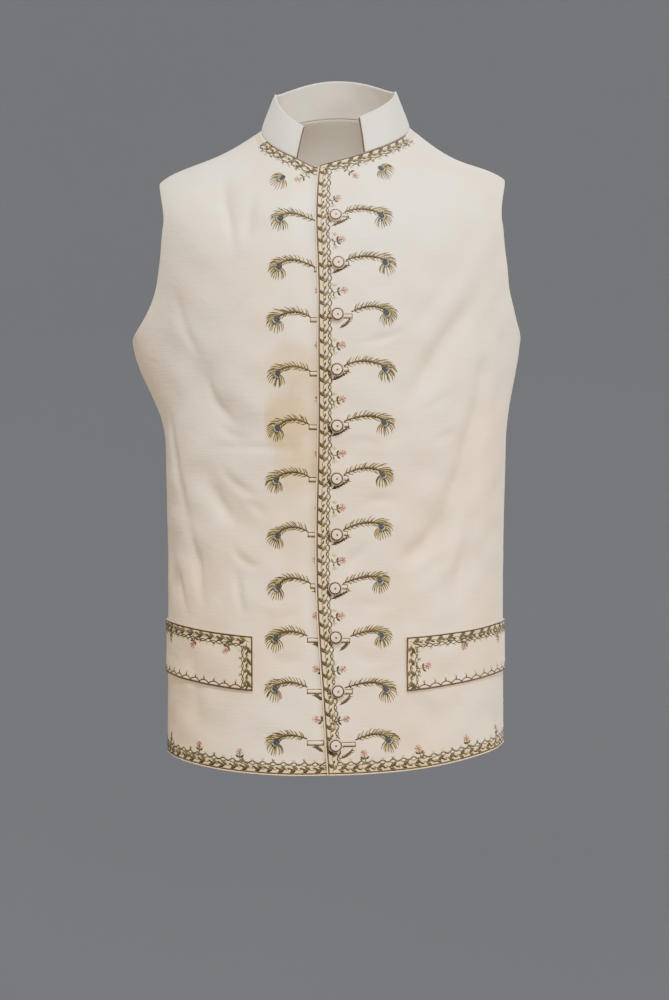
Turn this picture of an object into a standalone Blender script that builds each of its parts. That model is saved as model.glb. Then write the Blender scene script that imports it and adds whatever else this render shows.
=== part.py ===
"""Embroidered waistcoat of the late eighteenth century, in the hollow shape that it has when worn.

Units are metres and +Z is up. The front faces -Y, and +X is the wearer's left. The origin lies
between the shoulders, level with the side neck points, where the wearer holds the garment up.

Every cloth piece lies on one skin, the outer face of the whole garment. The skin is lofted through
the sections in SECTIONS. A place on it is a station, the distance up the garment, and an arc, the
distance round the section from the centre front, positive towards the wearer's left.
"""

import math
from collections import namedtuple

import bmesh
import bpy
import numpy as np

# Cloth, seams and overlaps
CLOTH = 0.0016
COLLAR_CLOTH = 0.0018
WELT_CLOTH = 0.0013
SEAM_GAP = 0.0006
LAP_GAP = 0.0006
WELT_GAP = 0.0005

# The skin's sections, from the hem to the neckline. The z columns are the heights of a section at
# the centre front, at the side and at the centre back. Squareness is the exponent of its
# superellipse, shift its sideways place, and tilt its slope towards the wearer's left. Vee runs
# from 0, where the front dips in a round curve, to 1, where it dips to a point at NECK_POINT_X.
Section = namedtuple(
    "Section", "front_z side_z back_z half_width front_y back_y squareness shift tilt vee"
)
SECTIONS = (
    Section(-0.661, -0.640, -0.640, 0.1740, -0.116, 0.116, 2.35, 0.0000, 0.028, 0.0),  # hem
    Section(-0.530, -0.513, -0.515, 0.1735, -0.114, 0.110, 2.35, 0.0000, 0.000, 0.0),  # hips
    Section(-0.410, -0.400, -0.400, 0.1745, -0.112, 0.090, 2.30, 0.0000, 0.000, 0.0),  # waist
    Section(-0.310, -0.303, -0.295, 0.1765, -0.117, 0.097, 2.30, 0.0000, 0.000, 0.0),  # ribs
    Section(-0.228, -0.217, -0.200, 0.1790, -0.120, 0.108, 2.25, -0.0015, 0.000, 0.0),  # underarms
    Section(-0.158, -0.130, -0.120, 0.1915, -0.114, 0.112, 2.15, -0.0020, 0.000, 0.0),  # chest
    Section(-0.098, -0.0535, -0.050, 0.1772, -0.101, 0.104, 2.20, -0.0035, 0.010, 0.0),  # shoulders
    Section(-0.068, -0.0305, -0.012, 0.1250, -0.086, 0.090, 2.10, -0.0020, 0.000, 0.3),  # yoke
    Section(-0.045, 0.0000, 0.020, 0.0770, -0.074, 0.072, 2.00, 0.0000, 0.020, 1.0),  # neckline
)
UNDERARM, SHOULDER = 4, 6
ARMHOLE_WAIST = 5.46  # where the armhole's edges come nearest the body's middle, in sections
NECK_POINT_X = -0.0188  # the left front's edge at the neckline
NECK_SLOPE = 0.5  # how far the upper chest comes back for each metre that it rises

# Seams and armholes, as angles round the section from the centre front, in degrees
SIDE_SEAM = 100.0
SHOULDER_SEAM = 97.0
CHEST_EDGE = 62.0
BLADE_EDGE = 119.0
ARMHOLE_SPREAD = 1.15  # below 2, the armhole widens sooner on the way down than an ellipse

# The underarm corners stand away from the body, further on the wearer's right. The spread is in
# degrees to each side, the drop and the rise are how far down and up the garment it fades.
FLARE_RIGHT = 0.033
FLARE_LEFT = 0.0162
FLARE_ANGLE = 98.0
FLARE_SPREAD = 14.0
FLARE_DROP = 0.115
FLARE_RISE = 0.100

# Edges of the two fronts at the centre, as heights on the centre line and arcs from it, hem first
Edge = namedtuple("Edge", "height arc")
LEFT_EDGE = (Edge(-0.661, -0.0085), Edge(-0.574, -0.0142), Edge(-0.490, -0.0195),
             Edge(-0.336, -0.0190), Edge(-0.200, -0.0168), Edge(-0.045, -0.0180))
RIGHT_EDGE = (Edge(-0.661, 0.0070), Edge(-0.045, 0.0080))
LAP_EASE = 0.024  # the right front sinks under the left one over this width,
LAP_SUNK = 0.9  # and is down by this share of it

# Soft folds of the cloth. Across and height are a fold's ends on the skin: across is the arc from
# the centre front, or from the centre back, and height is the section's own at that centre. Bow
# moves its middle sideways, reach is its half width, and depth is positive for a ridge.
Fold = namedtuple("Fold", "across_a height_a across_b height_b bow reach depth")
FOLD_END = 0.45  # the share of a fold's length over which each of its ends fades
FRONT_FOLDS = (
    Fold(0.045, -0.462, 0.145, -0.320, 0.026, 0.0120, -0.0065),
    Fold(0.078, -0.480, 0.170, -0.335, 0.026, 0.0150, 0.0030),
    Fold(0.050, -0.330, 0.172, -0.165, -0.004, 0.0140, -0.0055),
    Fold(0.143, -0.415, 0.128, -0.505, 0.000, 0.0120, -0.0030),
    Fold(0.040, -0.074, 0.120, -0.070, 0.000, 0.0120, -0.0025),
    Fold(-0.170, -0.200, -0.065, -0.342, 0.021, 0.0160, -0.0055),
    Fold(-0.150, -0.340, -0.062, -0.424, 0.015, 0.0130, -0.0045),
    Fold(-0.117, -0.068, -0.106, -0.150, 0.000, 0.0130, -0.0035),
    Fold(-0.084, -0.080, -0.090, -0.140, 0.000, 0.0120, -0.0020),
    Fold(-0.160, -0.410, -0.138, -0.505, 0.000, 0.0120, -0.0030),
    Fold(-0.210, -0.410, -0.168, -0.522, 0.004, 0.0140, -0.0035),
)
BACK_FOLDS = (
    Fold(-0.110, -0.170, -0.035, -0.400, 0.014, 0.0180, -0.0045),
    Fold(0.110, -0.170, 0.040, -0.410, -0.014, 0.0180, -0.0045),
    Fold(-0.160, -0.330, -0.090, -0.520, 0.010, 0.0160, -0.0035),
    Fold(0.165, -0.330, 0.100, -0.530, -0.010, 0.0160, -0.0035),
    Fold(-0.060, -0.060, -0.085, -0.210, -0.006, 0.0150, -0.0025),
    Fold(0.060, -0.060, 0.085, -0.210, 0.006, 0.0150, -0.0025),
)

# Collar: a standing band from one front to the other, cut a little taller on the left
COLLAR_RIGHT_END = -29.7
COLLAR_LEFT_END = 21.8
COLLAR_RISE = 0.038
COLLAR_RISE_RIGHT = 0.034
COLLAR_LEAN = 0.0140
COLLAR_CURL = 1.2  # above 1, the lean is less at the seam than at the top edge

# Pocket welts: each starts at its arc and runs back along the section lines
WELT_TOP = -0.5245
WELT_BOTTOM = -0.5790
WELT_LENGTH = 0.160
WELT_START_LEFT = 0.0715
WELT_START_RIGHT = -0.0835

# Buttons, down the line where the right front carries them, spaced by hand
BUTTON_TOP = -0.0994
BUTTON_STEPS_DOWN = (0.048, 0.052, 0.055, 0.056, 0.053, 0.056, 0.054, 0.049, 0.054, 0.054)
BUTTON_ARCS = (0.0036, 0.0051, 0.0035, 0.0026, 0.0016, 0.0012, 0.0014, -0.0002, 0.0006, 0.0026, 0.0)
BUTTON_RADIUS = 0.0070
BUTTON_DEPTH = 0.0034
BUTTON_EDGE = 0.0009
BUTTON_SHOULDER = 0.0015  # how far below the crown the rim turns
CROWN_SHARES = (0.0, 0.45, 0.85)  # of the radius, where the crown's profile has its points
BUTTON_GAP = 0.0005
BUTTON_SIDES = 16

# Grid counts of the lofted pieces
ROWS_BELOW_ARMHOLE = 20
ROWS_QUARTER_ARMHOLE = 6
ROWS_SHOULDER = 6
COLUMNS_FRONT = 20
SIDE_CROWDING = 0.22  # how much a panel's columns crowd towards its side seam
COLUMNS_BACK = 28
COLUMNS_COLLAR = 46
ROWS_COLLAR = 3
COLUMNS_WELT = 20
ROWS_WELT = 3

RING_ANGLES = np.radians(np.linspace(-180.0, 360.0, 1621))
HEIGHT_SAMPLES = 800
NUDGE = 0.002  # the step of the differences that give the skin's outward direction
MERGE = 0.00001


def even_bend_slopes(knots, values):
    """Slopes at the knots that let the bend of one cubic run on evenly into the next."""
    step = np.diff(knots)
    rise = np.diff(values, axis=0) / step[:, None]
    system = np.zeros((len(knots), len(knots)))
    right_side = np.zeros(values.shape)
    for i in range(len(step)):
        system[i : i + 2, i : i + 2] += np.array([[2.0, 1.0], [1.0, 2.0]]) / step[i]
        right_side[i : i + 2] += 3.0 * rise[i] / step[i]
    return np.linalg.solve(system, right_side)


def smooth_between(knots, values, at):
    """Cubics through the values at the knots, without a break in slope or bend."""
    slopes = even_bend_slopes(knots, values)
    at = np.clip(at, knots[0], knots[-1])
    low = np.clip(np.searchsorted(knots, at, side="right") - 1, 0, len(knots) - 2)
    span = (knots[low + 1] - knots[low])[..., None]
    share = (at - knots[low])[..., None] / span
    rise = share * share * (3.0 - 2.0 * share)
    lead = share * (1.0 - share) ** 2 * span
    trail = share * share * (share - 1.0) * span
    held = values[low] * (1.0 - rise) + values[low + 1] * rise
    return held + slopes[low] * lead + slopes[low + 1] * trail


def ease(share):
    """Smooth step from 0 to 1."""
    share = np.clip(share, 0.0, 1.0)
    return share * share * (3.0 - 2.0 * share)


def section_stations():
    """Distance of each section up the garment: the mean of its steps at the front, side and back."""
    table = np.array(SECTIONS)
    front = table[:, [4, 0]]
    side = table[:, [3, 1]]
    back = table[:, [5, 2]]
    steps = [np.linalg.norm(np.diff(line, axis=0), axis=1) for line in (front, side, back)]
    return np.concatenate([[0.0], np.cumsum(np.mean(steps, axis=0))])


STATIONS = section_stations()


def station_of(section_number):
    """Station of a section counted from the hem, which may lie between two of them."""
    return float(np.interp(section_number, np.arange(len(STATIONS)), STATIONS))


def section_at(station):
    """The skin's section at each station, one row of Section's columns each."""
    return smooth_between(STATIONS, np.array(SECTIONS), np.asarray(station, float))


def station_at_height(front_height):
    """Station whose section has this height at the centre front."""
    fine = np.linspace(STATIONS[0], STATIONS[-1], HEIGHT_SAMPLES)
    return np.interp(front_height, section_at(fine)[:, 0], fine)


def ring(station):
    """Points round each station's section at RING_ANGLES, and their arcs from the centre front."""
    front_z, side_z, back_z, half_width, front_y, back_y, squareness, shift, tilt, vee = (
        column[:, None] for column in section_at(station).T
    )
    power = 2.0 / squareness
    across = np.sign(np.sin(RING_ANGLES)) * np.abs(np.sin(RING_ANGLES)) ** power
    along = np.abs(np.cos(RING_ANGLES)) ** power
    facing = np.cos(RING_ANGLES) > 0.0
    x = half_width * across
    aside = x - NECK_POINT_X
    to_side = np.abs(aside) / (half_width + np.where(aside > 0.0, -NECK_POINT_X, NECK_POINT_X))
    pointed = np.sqrt(np.clip(1.0 - to_side, 0.0, 1.0)) - along**2
    dip = (np.where(facing, front_z, back_z) - side_z) * along**2
    lift = np.where(facing, vee * (front_z - side_z) * pointed, 0.0)
    y = np.where(facing, front_y, back_y) * along + NECK_SLOPE * lift
    z = side_z + dip + lift + tilt * x
    points = np.stack([x + shift, y, z], axis=-1)
    steps = np.linalg.norm(np.diff(points, axis=1), axis=2)
    arcs = np.concatenate([np.zeros((len(points), 1)), np.cumsum(steps, axis=1)], axis=1)
    centre = np.argmin(np.abs(RING_ANGLES))
    return points, arcs - arcs[:, centre : centre + 1]


def arc_at_angle(station, degrees):
    """Arc of the skin's point at this angle, for each station."""
    _, arcs = ring(station)
    degrees = np.broadcast_to(degrees, len(arcs))
    return np.array([np.interp(math.radians(d), RING_ANGLES, row) for d, row in zip(degrees, arcs)])


def bare_skin(station, arc):
    """Points of the skin without folds, and their angles in degrees: one row for each station."""
    points, arcs = ring(station)
    found = np.empty(arc.shape + (3,))
    angle = np.empty(arc.shape)
    for i, row in enumerate(arcs):
        angle[i] = np.degrees(np.interp(arc[i], row, RING_ANGLES))
        for k in range(3):
            found[i, :, k] = np.interp(arc[i], row, points[i, :, k])
    return found, angle


def skin_frame(station, arc):
    """Points of the skin without folds, its outward directions and the angles."""
    here, angle = bare_skin(station, arc)
    round_step = bare_skin(station, arc + NUDGE)[0] - bare_skin(station, arc - NUDGE)[0]
    above = np.minimum(station + NUDGE, STATIONS[-1])
    below = np.maximum(station - NUDGE, STATIONS[0])
    up_step = bare_skin(above, arc)[0] - bare_skin(below, arc)[0]
    outward = np.cross(round_step, up_step)
    return here, outward / np.linalg.norm(outward, axis=2, keepdims=True), angle


def flare(station, angle):
    """How far the skin stands out round the underarm corners."""
    turned = np.where(angle > 180.0, angle - 360.0, angle)
    most = np.where(turned > 0.0, FLARE_LEFT, FLARE_RIGHT)
    beside = np.exp(-0.5 * ((np.abs(turned) - FLARE_ANGLE) / FLARE_SPREAD) ** 2)
    above = station - station_of(UNDERARM)
    away = np.where(above > 0.0, above / FLARE_RISE, -above / FLARE_DROP)
    return most * beside * np.cos(0.5 * math.pi * np.clip(away, 0.0, 1.0))[:, None] ** 2


def fold_relief(folds, across, height):
    """Sum of the folds at places on the skin. Each is a bell across its line, and fades at its ends."""
    total = np.zeros(across.shape)
    for fold in folds:
        run = np.array([fold.across_b - fold.across_a, fold.height_b - fold.height_a])
        length = np.linalg.norm(run)
        run /= length
        east = across - fold.across_a
        north = height - fold.height_a
        share = (east * run[0] + north * run[1]) / length
        inside = np.clip(share, 0.0, 1.0)
        aside = east * run[1] - north * run[0] - fold.bow * 4.0 * inside * (1.0 - inside)
        fade = ease(inside / FOLD_END) * ease((1.0 - inside) / FOLD_END)
        total += fold.depth * fade * np.exp(-0.5 * (aside / fold.reach) ** 2)
    return total


def front_skin(station, arc):
    """Outer face of the fronts, with their folds, and the outward directions."""
    here, outward, angle = skin_frame(station, arc)
    height = np.broadcast_to(section_at(station)[:, 0:1], arc.shape)
    out = flare(station, angle) + fold_relief(FRONT_FOLDS, arc, height)
    return here + outward * out[..., None], outward


def back_skin(station, arc):
    """Outer face of the back, with its folds."""
    here, outward, angle = skin_frame(station, arc)
    centre = arc_at_angle(station, 180.0)[:, None]
    height = np.broadcast_to(section_at(station)[:, 2:3], arc.shape)
    out = flare(station, angle) + fold_relief(BACK_FOLDS, arc - centre, height)
    return here + outward * out[..., None]


def panel_stations():
    """Stations of a panel's rows, closer together where the armhole's edge turns."""
    underarm, waist, shoulder = station_of(UNDERARM), station_of(ARMHOLE_WAIST), station_of(SHOULDER)
    turn = np.sin(np.linspace(0.0, 0.5 * math.pi, ROWS_QUARTER_ARMHOLE + 1))
    below = np.linspace(0.0, underarm, ROWS_BELOW_ARMHOLE + 1)
    lower = waist - (waist - underarm) * turn[::-1]
    upper = waist + (shoulder - waist) * turn
    yoke = np.linspace(shoulder, STATIONS[-1], ROWS_SHOULDER + 1)
    return np.concatenate([below, lower[1:], upper[1:], yoke[1:]])


def outer_angle(station, armhole_edge):
    """Angle of a panel's outer edge: the side seam, half an oval round the armhole, the shoulder."""
    underarm, waist, shoulder = station_of(UNDERARM), station_of(ARMHOLE_WAIST), station_of(SHOULDER)
    low = np.clip((waist - station) / (waist - underarm), 0.0, 1.0)
    high = np.clip((station - waist) / (shoulder - waist), 0.0, 1.0)
    from_side = armhole_edge + (SIDE_SEAM - armhole_edge) * (1.0 - np.sqrt(1.0 - low**ARMHOLE_SPREAD))
    from_top = armhole_edge + (SHOULDER_SEAM - armhole_edge) * (1.0 - np.sqrt(1.0 - high**2))
    return np.where(station < waist, from_side, from_top)


def edge_arc(edge, station):
    """Arc of a front's centre edge at each station."""
    heights = np.array([point.height for point in edge])
    arcs = np.array([[point.arc] for point in edge])
    return smooth_between(heights, arcs, section_at(station)[:, 0])[:, 0]


def between(low, high, shares):
    """Arcs of each row, from its low to its high, at these shares of the way."""
    return low[:, None] + (high - low)[:, None] * shares


def even(columns):
    """Shares in even steps."""
    return np.linspace(0.0, 1.0, columns + 1)


def closer_at_end(columns):
    """Shares whose steps shorten towards the end, where a front turns round the side."""
    share = even(columns)
    return share + SIDE_CROWDING * np.sin(math.pi * share)


def closer_at_both(columns):
    """Shares whose steps shorten towards both ends."""
    share = even(columns)
    return share - 0.5 * SIDE_CROWDING * np.sin(2.0 * math.pi * share)


def add_object(name, mesh, material):
    """New object in the waistcoat's collection."""
    mesh.materials.append(material)
    obj = bpy.data.objects.new(name, mesh)
    bpy.data.collections["waistcoat"].objects.link(obj)
    return obj


def cloth_panel(name, points, thickness, material):
    """Wall of cloth whose outer face is the loft through the rows of points."""
    rows, columns = points.shape[:2]
    bm = bmesh.new()
    grid = [[bm.verts.new(p) for p in row] for row in points]
    for r in range(rows - 1):
        for c in range(columns - 1):
            bm.faces.new((grid[r][c], grid[r][c + 1], grid[r + 1][c + 1], grid[r + 1][c]))
    mesh = bpy.data.meshes.new(name)
    bm.to_mesh(mesh)
    bm.free()
    mesh.shade_smooth()
    obj = add_object(name, mesh, material)
    wall = obj.modifiers.new("wall", "SOLIDIFY")
    wall.thickness = thickness
    wall.offset = -1.0
    wall.use_even_offset = True
    return obj


def make_front_left(material):
    """Wearer's left front, which laps over the right one."""
    station = panel_stations()
    inner = edge_arc(LEFT_EDGE, station)
    outer = arc_at_angle(station, outer_angle(station, CHEST_EDGE)) - 0.5 * SEAM_GAP
    points, _ = front_skin(station, between(inner, outer, closer_at_end(COLUMNS_FRONT)))
    cloth_panel("front_left", points, CLOTH, material)


def make_front_right(material):
    """Wearer's right front, which sinks by a cloth's thickness where the left one covers it."""
    station = panel_stations()
    inner = edge_arc(RIGHT_EDGE, station)
    outer = arc_at_angle(station, -outer_angle(station, CHEST_EDGE)) + 0.5 * SEAM_GAP
    arc = between(inner, outer, closer_at_end(COLUMNS_FRONT))[:, ::-1]
    points, outward = front_skin(station, arc)
    past_start = arc - edge_arc(LEFT_EDGE, station)[:, None] + LAP_EASE
    covered = ease(past_start / (LAP_SUNK * LAP_EASE))
    points -= outward * ((CLOTH + LAP_GAP) * covered)[..., None]
    cloth_panel("front_right", points, CLOTH, material)


def make_back(material):
    """Back, from one side seam round to the other."""
    station = panel_stations()
    edge = outer_angle(station, BLADE_EDGE)
    left = arc_at_angle(station, edge) + 0.5 * SEAM_GAP
    right = arc_at_angle(station, 360.0 - edge) - 0.5 * SEAM_GAP
    arc = between(left, right, closer_at_both(COLUMNS_BACK))
    cloth_panel("back", back_skin(station, arc), CLOTH, material)


def make_collar(material):
    """Standing collar: the neckline's ring, carried up by its rise and in by its lean."""
    neck = np.array([STATIONS[-1]])
    low = arc_at_angle(neck, COLLAR_LEFT_END)
    high = arc_at_angle(neck, 360.0 + COLLAR_RIGHT_END)
    base, angle = bare_skin(neck, between(low, high, even(COLUMNS_COLLAR)))
    base, angle = base[0], np.radians(angle[0])
    away = np.stack([np.sin(angle), -np.cos(angle), np.zeros(len(angle))], axis=1)
    up = np.array([0.0, 0.0, 1.0])
    toward_right_front = ease((np.degrees(angle) - 270.0) / (90.0 + COLLAR_RIGHT_END))
    rise = COLLAR_RISE + (COLLAR_RISE_RIGHT - COLLAR_RISE) * toward_right_front
    rows = []
    for share in np.linspace(0.0, 1.0, ROWS_COLLAR + 1):
        lift = (SEAM_GAP + rise * share)[:, None] * up
        lean = (SEAM_GAP + COLLAR_LEAN * share**COLLAR_CURL) * away
        rows.append(base + lift - lean)
    cloth_panel("collar", np.array(rows), COLLAR_CLOTH, material)


def make_welt(name, start, end, material):
    """Pocket welt that lies on a front between two section lines."""
    station = np.linspace(station_at_height(WELT_BOTTOM), station_at_height(WELT_TOP), ROWS_WELT + 1)
    low, high = min(start, end), max(start, end)
    arc = low + (high - low) * even(COLUMNS_WELT)
    points, outward = front_skin(station, np.tile(arc, (len(station), 1)))
    cloth_panel(name, points + outward * (WELT_GAP + WELT_CLOTH), WELT_CLOTH, material)


def button_profile():
    """Outer side of a covered button, from its crown down to its flat back: (radius, depth)."""
    crown = [(BUTTON_RADIUS * share, BUTTON_DEPTH - BUTTON_EDGE * share**2) for share in CROWN_SHARES]
    rim = [(BUTTON_RADIUS, BUTTON_DEPTH - BUTTON_SHOULDER), (BUTTON_RADIUS, BUTTON_EDGE)]
    back = [(BUTTON_RADIUS - BUTTON_EDGE, 0.0), (0.0, 0.0)]
    return crown + rim + back


def make_button_mesh():
    """Button turned about its own Z axis."""
    profile = bmesh.new()
    points = [profile.verts.new((radius, 0.0, depth)) for radius, depth in button_profile()]
    for first, second in zip(points, points[1:]):
        profile.edges.new((first, second))
    mesh = bpy.data.meshes.new("button")
    profile.to_mesh(mesh)
    profile.free()
    return mesh


def make_buttons(material):
    """Buttons on the left front, each square to the cloth beneath it."""
    mesh = make_button_mesh()
    mesh.materials.append(material)
    heights = BUTTON_TOP - np.cumsum((0.0,) + BUTTON_STEPS_DOWN)
    points, outward = front_skin(station_at_height(heights), np.array(BUTTON_ARCS)[:, None])
    for i in range(len(heights)):
        obj = bpy.data.objects.new(f"button_{i + 1:02d}", mesh)
        bpy.data.collections["waistcoat"].objects.link(obj)
        direction = outward[i, 0]
        obj.location = points[i, 0] + direction * BUTTON_GAP
        pitch = math.atan2(math.hypot(direction[0], direction[1]), direction[2])
        heading = math.atan2(direction[1], direction[0])
        obj.rotation_euler = (0.0, pitch, heading)
        turn = obj.modifiers.new("turn", "SCREW")
        turn.steps = turn.render_steps = BUTTON_SIDES
        turn.use_merge_vertices = True
        turn.merge_threshold = MERGE
        turn.use_smooth_shade = True


def make_material(name, colour, roughness):
    """Plain cloth finish."""
    material = bpy.data.materials.new(name)
    material.use_nodes = True
    shader = material.node_tree.nodes["Principled BSDF"]
    shader.inputs["Base Color"].default_value = (*colour, 1.0)
    shader.inputs["Roughness"].default_value = roughness
    shader.inputs["Metallic"].default_value = 0.0
    return material


def main():
    for obj in list(bpy.data.objects):
        bpy.data.objects.remove(obj)
    collection = bpy.data.collections.new("waistcoat")
    bpy.context.scene.collection.children.link(collection)
    silk = make_material("ivory_silk", (0.78, 0.72, 0.61), 0.55)
    linen = make_material("back_linen", (0.72, 0.66, 0.55), 0.85)
    collar_silk = make_material("collar_silk", (0.78, 0.73, 0.64), 0.55)
    covered = make_material("button_silk", (0.80, 0.71, 0.60), 0.50)
    make_front_right(silk)
    make_front_left(silk)
    make_back(linen)
    make_collar(collar_silk)
    make_welt("welt_left", WELT_START_LEFT, WELT_START_LEFT + WELT_LENGTH, silk)
    make_welt("welt_right", WELT_START_RIGHT, WELT_START_RIGHT - WELT_LENGTH, silk)
    make_buttons(covered)


main()
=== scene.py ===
"""Looks of the embroidered waistcoat: its cloth, silk embroidery and covered buttons, on a plain stage.

Lengths are metres, except on the drawing of the embroidery, which is in millimetres. A place on the
cloth is an arc, the distance round the garment from the centre front, positive towards the wearer's
left, and a station, the distance up it from the hem. The skin is the garment's outer face.
"""
import math
from collections import namedtuple

import bmesh
import bpy
import numpy as np
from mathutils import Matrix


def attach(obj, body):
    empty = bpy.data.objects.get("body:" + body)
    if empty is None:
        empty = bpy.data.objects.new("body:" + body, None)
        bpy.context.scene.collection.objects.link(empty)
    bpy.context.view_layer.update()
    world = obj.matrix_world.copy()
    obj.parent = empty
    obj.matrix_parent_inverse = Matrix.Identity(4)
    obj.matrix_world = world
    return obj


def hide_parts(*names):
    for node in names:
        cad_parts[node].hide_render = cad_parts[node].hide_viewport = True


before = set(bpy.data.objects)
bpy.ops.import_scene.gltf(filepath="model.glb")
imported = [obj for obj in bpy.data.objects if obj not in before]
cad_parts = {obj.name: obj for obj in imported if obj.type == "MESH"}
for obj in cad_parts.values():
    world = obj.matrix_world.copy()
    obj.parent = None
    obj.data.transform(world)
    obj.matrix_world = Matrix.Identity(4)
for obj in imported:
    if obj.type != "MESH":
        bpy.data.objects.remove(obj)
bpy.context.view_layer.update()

MM = 0.001

# ---------------------------------------------------------------------------------------------
# The skin, with the same sizes as the solids
# ---------------------------------------------------------------------------------------------

CLOTH = 0.0016
COLLAR_CLOTH = 0.0018
WELT_CLOTH = 0.0013
SEAM_GAP = 0.0002
LAP_GAP = 0.0006
WELT_GAP = 0.0005

# Heights of a section at the centre front, side and back, its half width, its depth in front and
# behind, the exponent of its superellipse, its sideways place, its slope and how pointed its dip is
Section = namedtuple(
    "Section", "front_z side_z back_z half_width front_y back_y squareness shift tilt vee"
)
SECTIONS = (
    Section(-0.661, -0.640, -0.640, 0.1740, -0.116, 0.116, 2.35, 0.0000, 0.028, 0.0),  # hem
    Section(-0.530, -0.513, -0.515, 0.1735, -0.114, 0.110, 2.35, 0.0000, 0.000, 0.0),  # hips
    Section(-0.410, -0.400, -0.400, 0.1745, -0.112, 0.090, 2.30, 0.0000, 0.000, 0.0),  # waist
    Section(-0.310, -0.303, -0.295, 0.1765, -0.117, 0.097, 2.30, 0.0000, 0.000, 0.0),  # ribs
    Section(-0.228, -0.217, -0.200, 0.1790, -0.120, 0.108, 2.25, -0.0015, 0.000, 0.0),  # underarms
    Section(-0.158, -0.130, -0.120, 0.1915, -0.114, 0.112, 2.15, -0.0020, 0.000, 0.0),  # chest
    Section(-0.098, -0.0535, -0.050, 0.1772, -0.101, 0.104, 2.20, -0.0035, 0.010, 0.0),  # shoulders
    Section(-0.068, -0.0305, -0.012, 0.1250, -0.086, 0.090, 2.10, -0.0020, 0.000, 0.3),  # yoke
    Section(-0.045, 0.0000, 0.020, 0.0770, -0.074, 0.072, 2.00, 0.0000, 0.020, 1.0),  # neckline
)
UNDERARM, SHOULDER = 4, 6
ARMHOLE_WAIST, ARMHOLE_SPREAD = 5.46, 1.15
NECK_POINT_X = -0.0188
NECK_SLOPE = 0.5
SIDE_SEAM, SHOULDER_SEAM, CHEST_EDGE, BLADE_EDGE = 100.0, 97.0, 62.0, 119.0
FLARE_RIGHT, FLARE_LEFT, FLARE_ANGLE, FLARE_SPREAD = 0.033, 0.0162, 98.0, 14.0
FLARE_DROP, FLARE_RISE = 0.115, 0.100

# Centre edges of the fronts, as heights on the centre line and arcs from it
LEFT_EDGE = (
    (-0.661, -0.0085), (-0.574, -0.0142), (-0.490, -0.0195), (-0.336, -0.0190), (-0.200, -0.0168), (-0.045, -0.0180)
)
RIGHT_EDGE = ((-0.661, 0.0070), (-0.045, 0.0080))
LAP_EASE, LAP_SUNK = 0.015, 0.9

# Folds: both ends as an arc and a height, sideways bow, half width, and depth, positive on a ridge
Fold = namedtuple("Fold", "across_a height_a across_b height_b bow reach depth")
FOLD_END = 0.45
FRONT_FOLDS = (
    Fold(0.045, -0.462, 0.145, -0.320, 0.026, 0.0120, -0.0065),
    Fold(0.078, -0.480, 0.170, -0.335, 0.026, 0.0150, 0.0030),
    Fold(0.050, -0.330, 0.172, -0.165, -0.004, 0.0140, -0.0055),
    Fold(0.143, -0.415, 0.128, -0.505, 0.000, 0.0120, -0.0030),
    Fold(0.040, -0.074, 0.120, -0.070, 0.000, 0.0120, -0.0025),
    Fold(-0.170, -0.200, -0.065, -0.342, 0.021, 0.0160, -0.0055),
    Fold(-0.150, -0.340, -0.062, -0.424, 0.015, 0.0130, -0.0045),
    Fold(-0.117, -0.068, -0.106, -0.150, 0.000, 0.0130, -0.0035),
    Fold(-0.084, -0.080, -0.090, -0.140, 0.000, 0.0120, -0.0020),
    Fold(-0.160, -0.410, -0.138, -0.505, 0.000, 0.0120, -0.0030),
    Fold(-0.210, -0.410, -0.168, -0.522, 0.004, 0.0140, -0.0035),
)
BACK_FOLDS = (
    Fold(-0.110, -0.170, -0.035, -0.400, 0.014, 0.0180, -0.0045),
    Fold(0.110, -0.170, 0.040, -0.410, -0.014, 0.0180, -0.0045),
    Fold(-0.160, -0.330, -0.090, -0.520, 0.010, 0.0160, -0.0035),
    Fold(0.165, -0.330, 0.100, -0.530, -0.010, 0.0160, -0.0035),
    Fold(-0.060, -0.060, -0.085, -0.210, -0.006, 0.0150, -0.0025),
    Fold(0.060, -0.060, 0.085, -0.210, 0.006, 0.0150, -0.0025),
)
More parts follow.
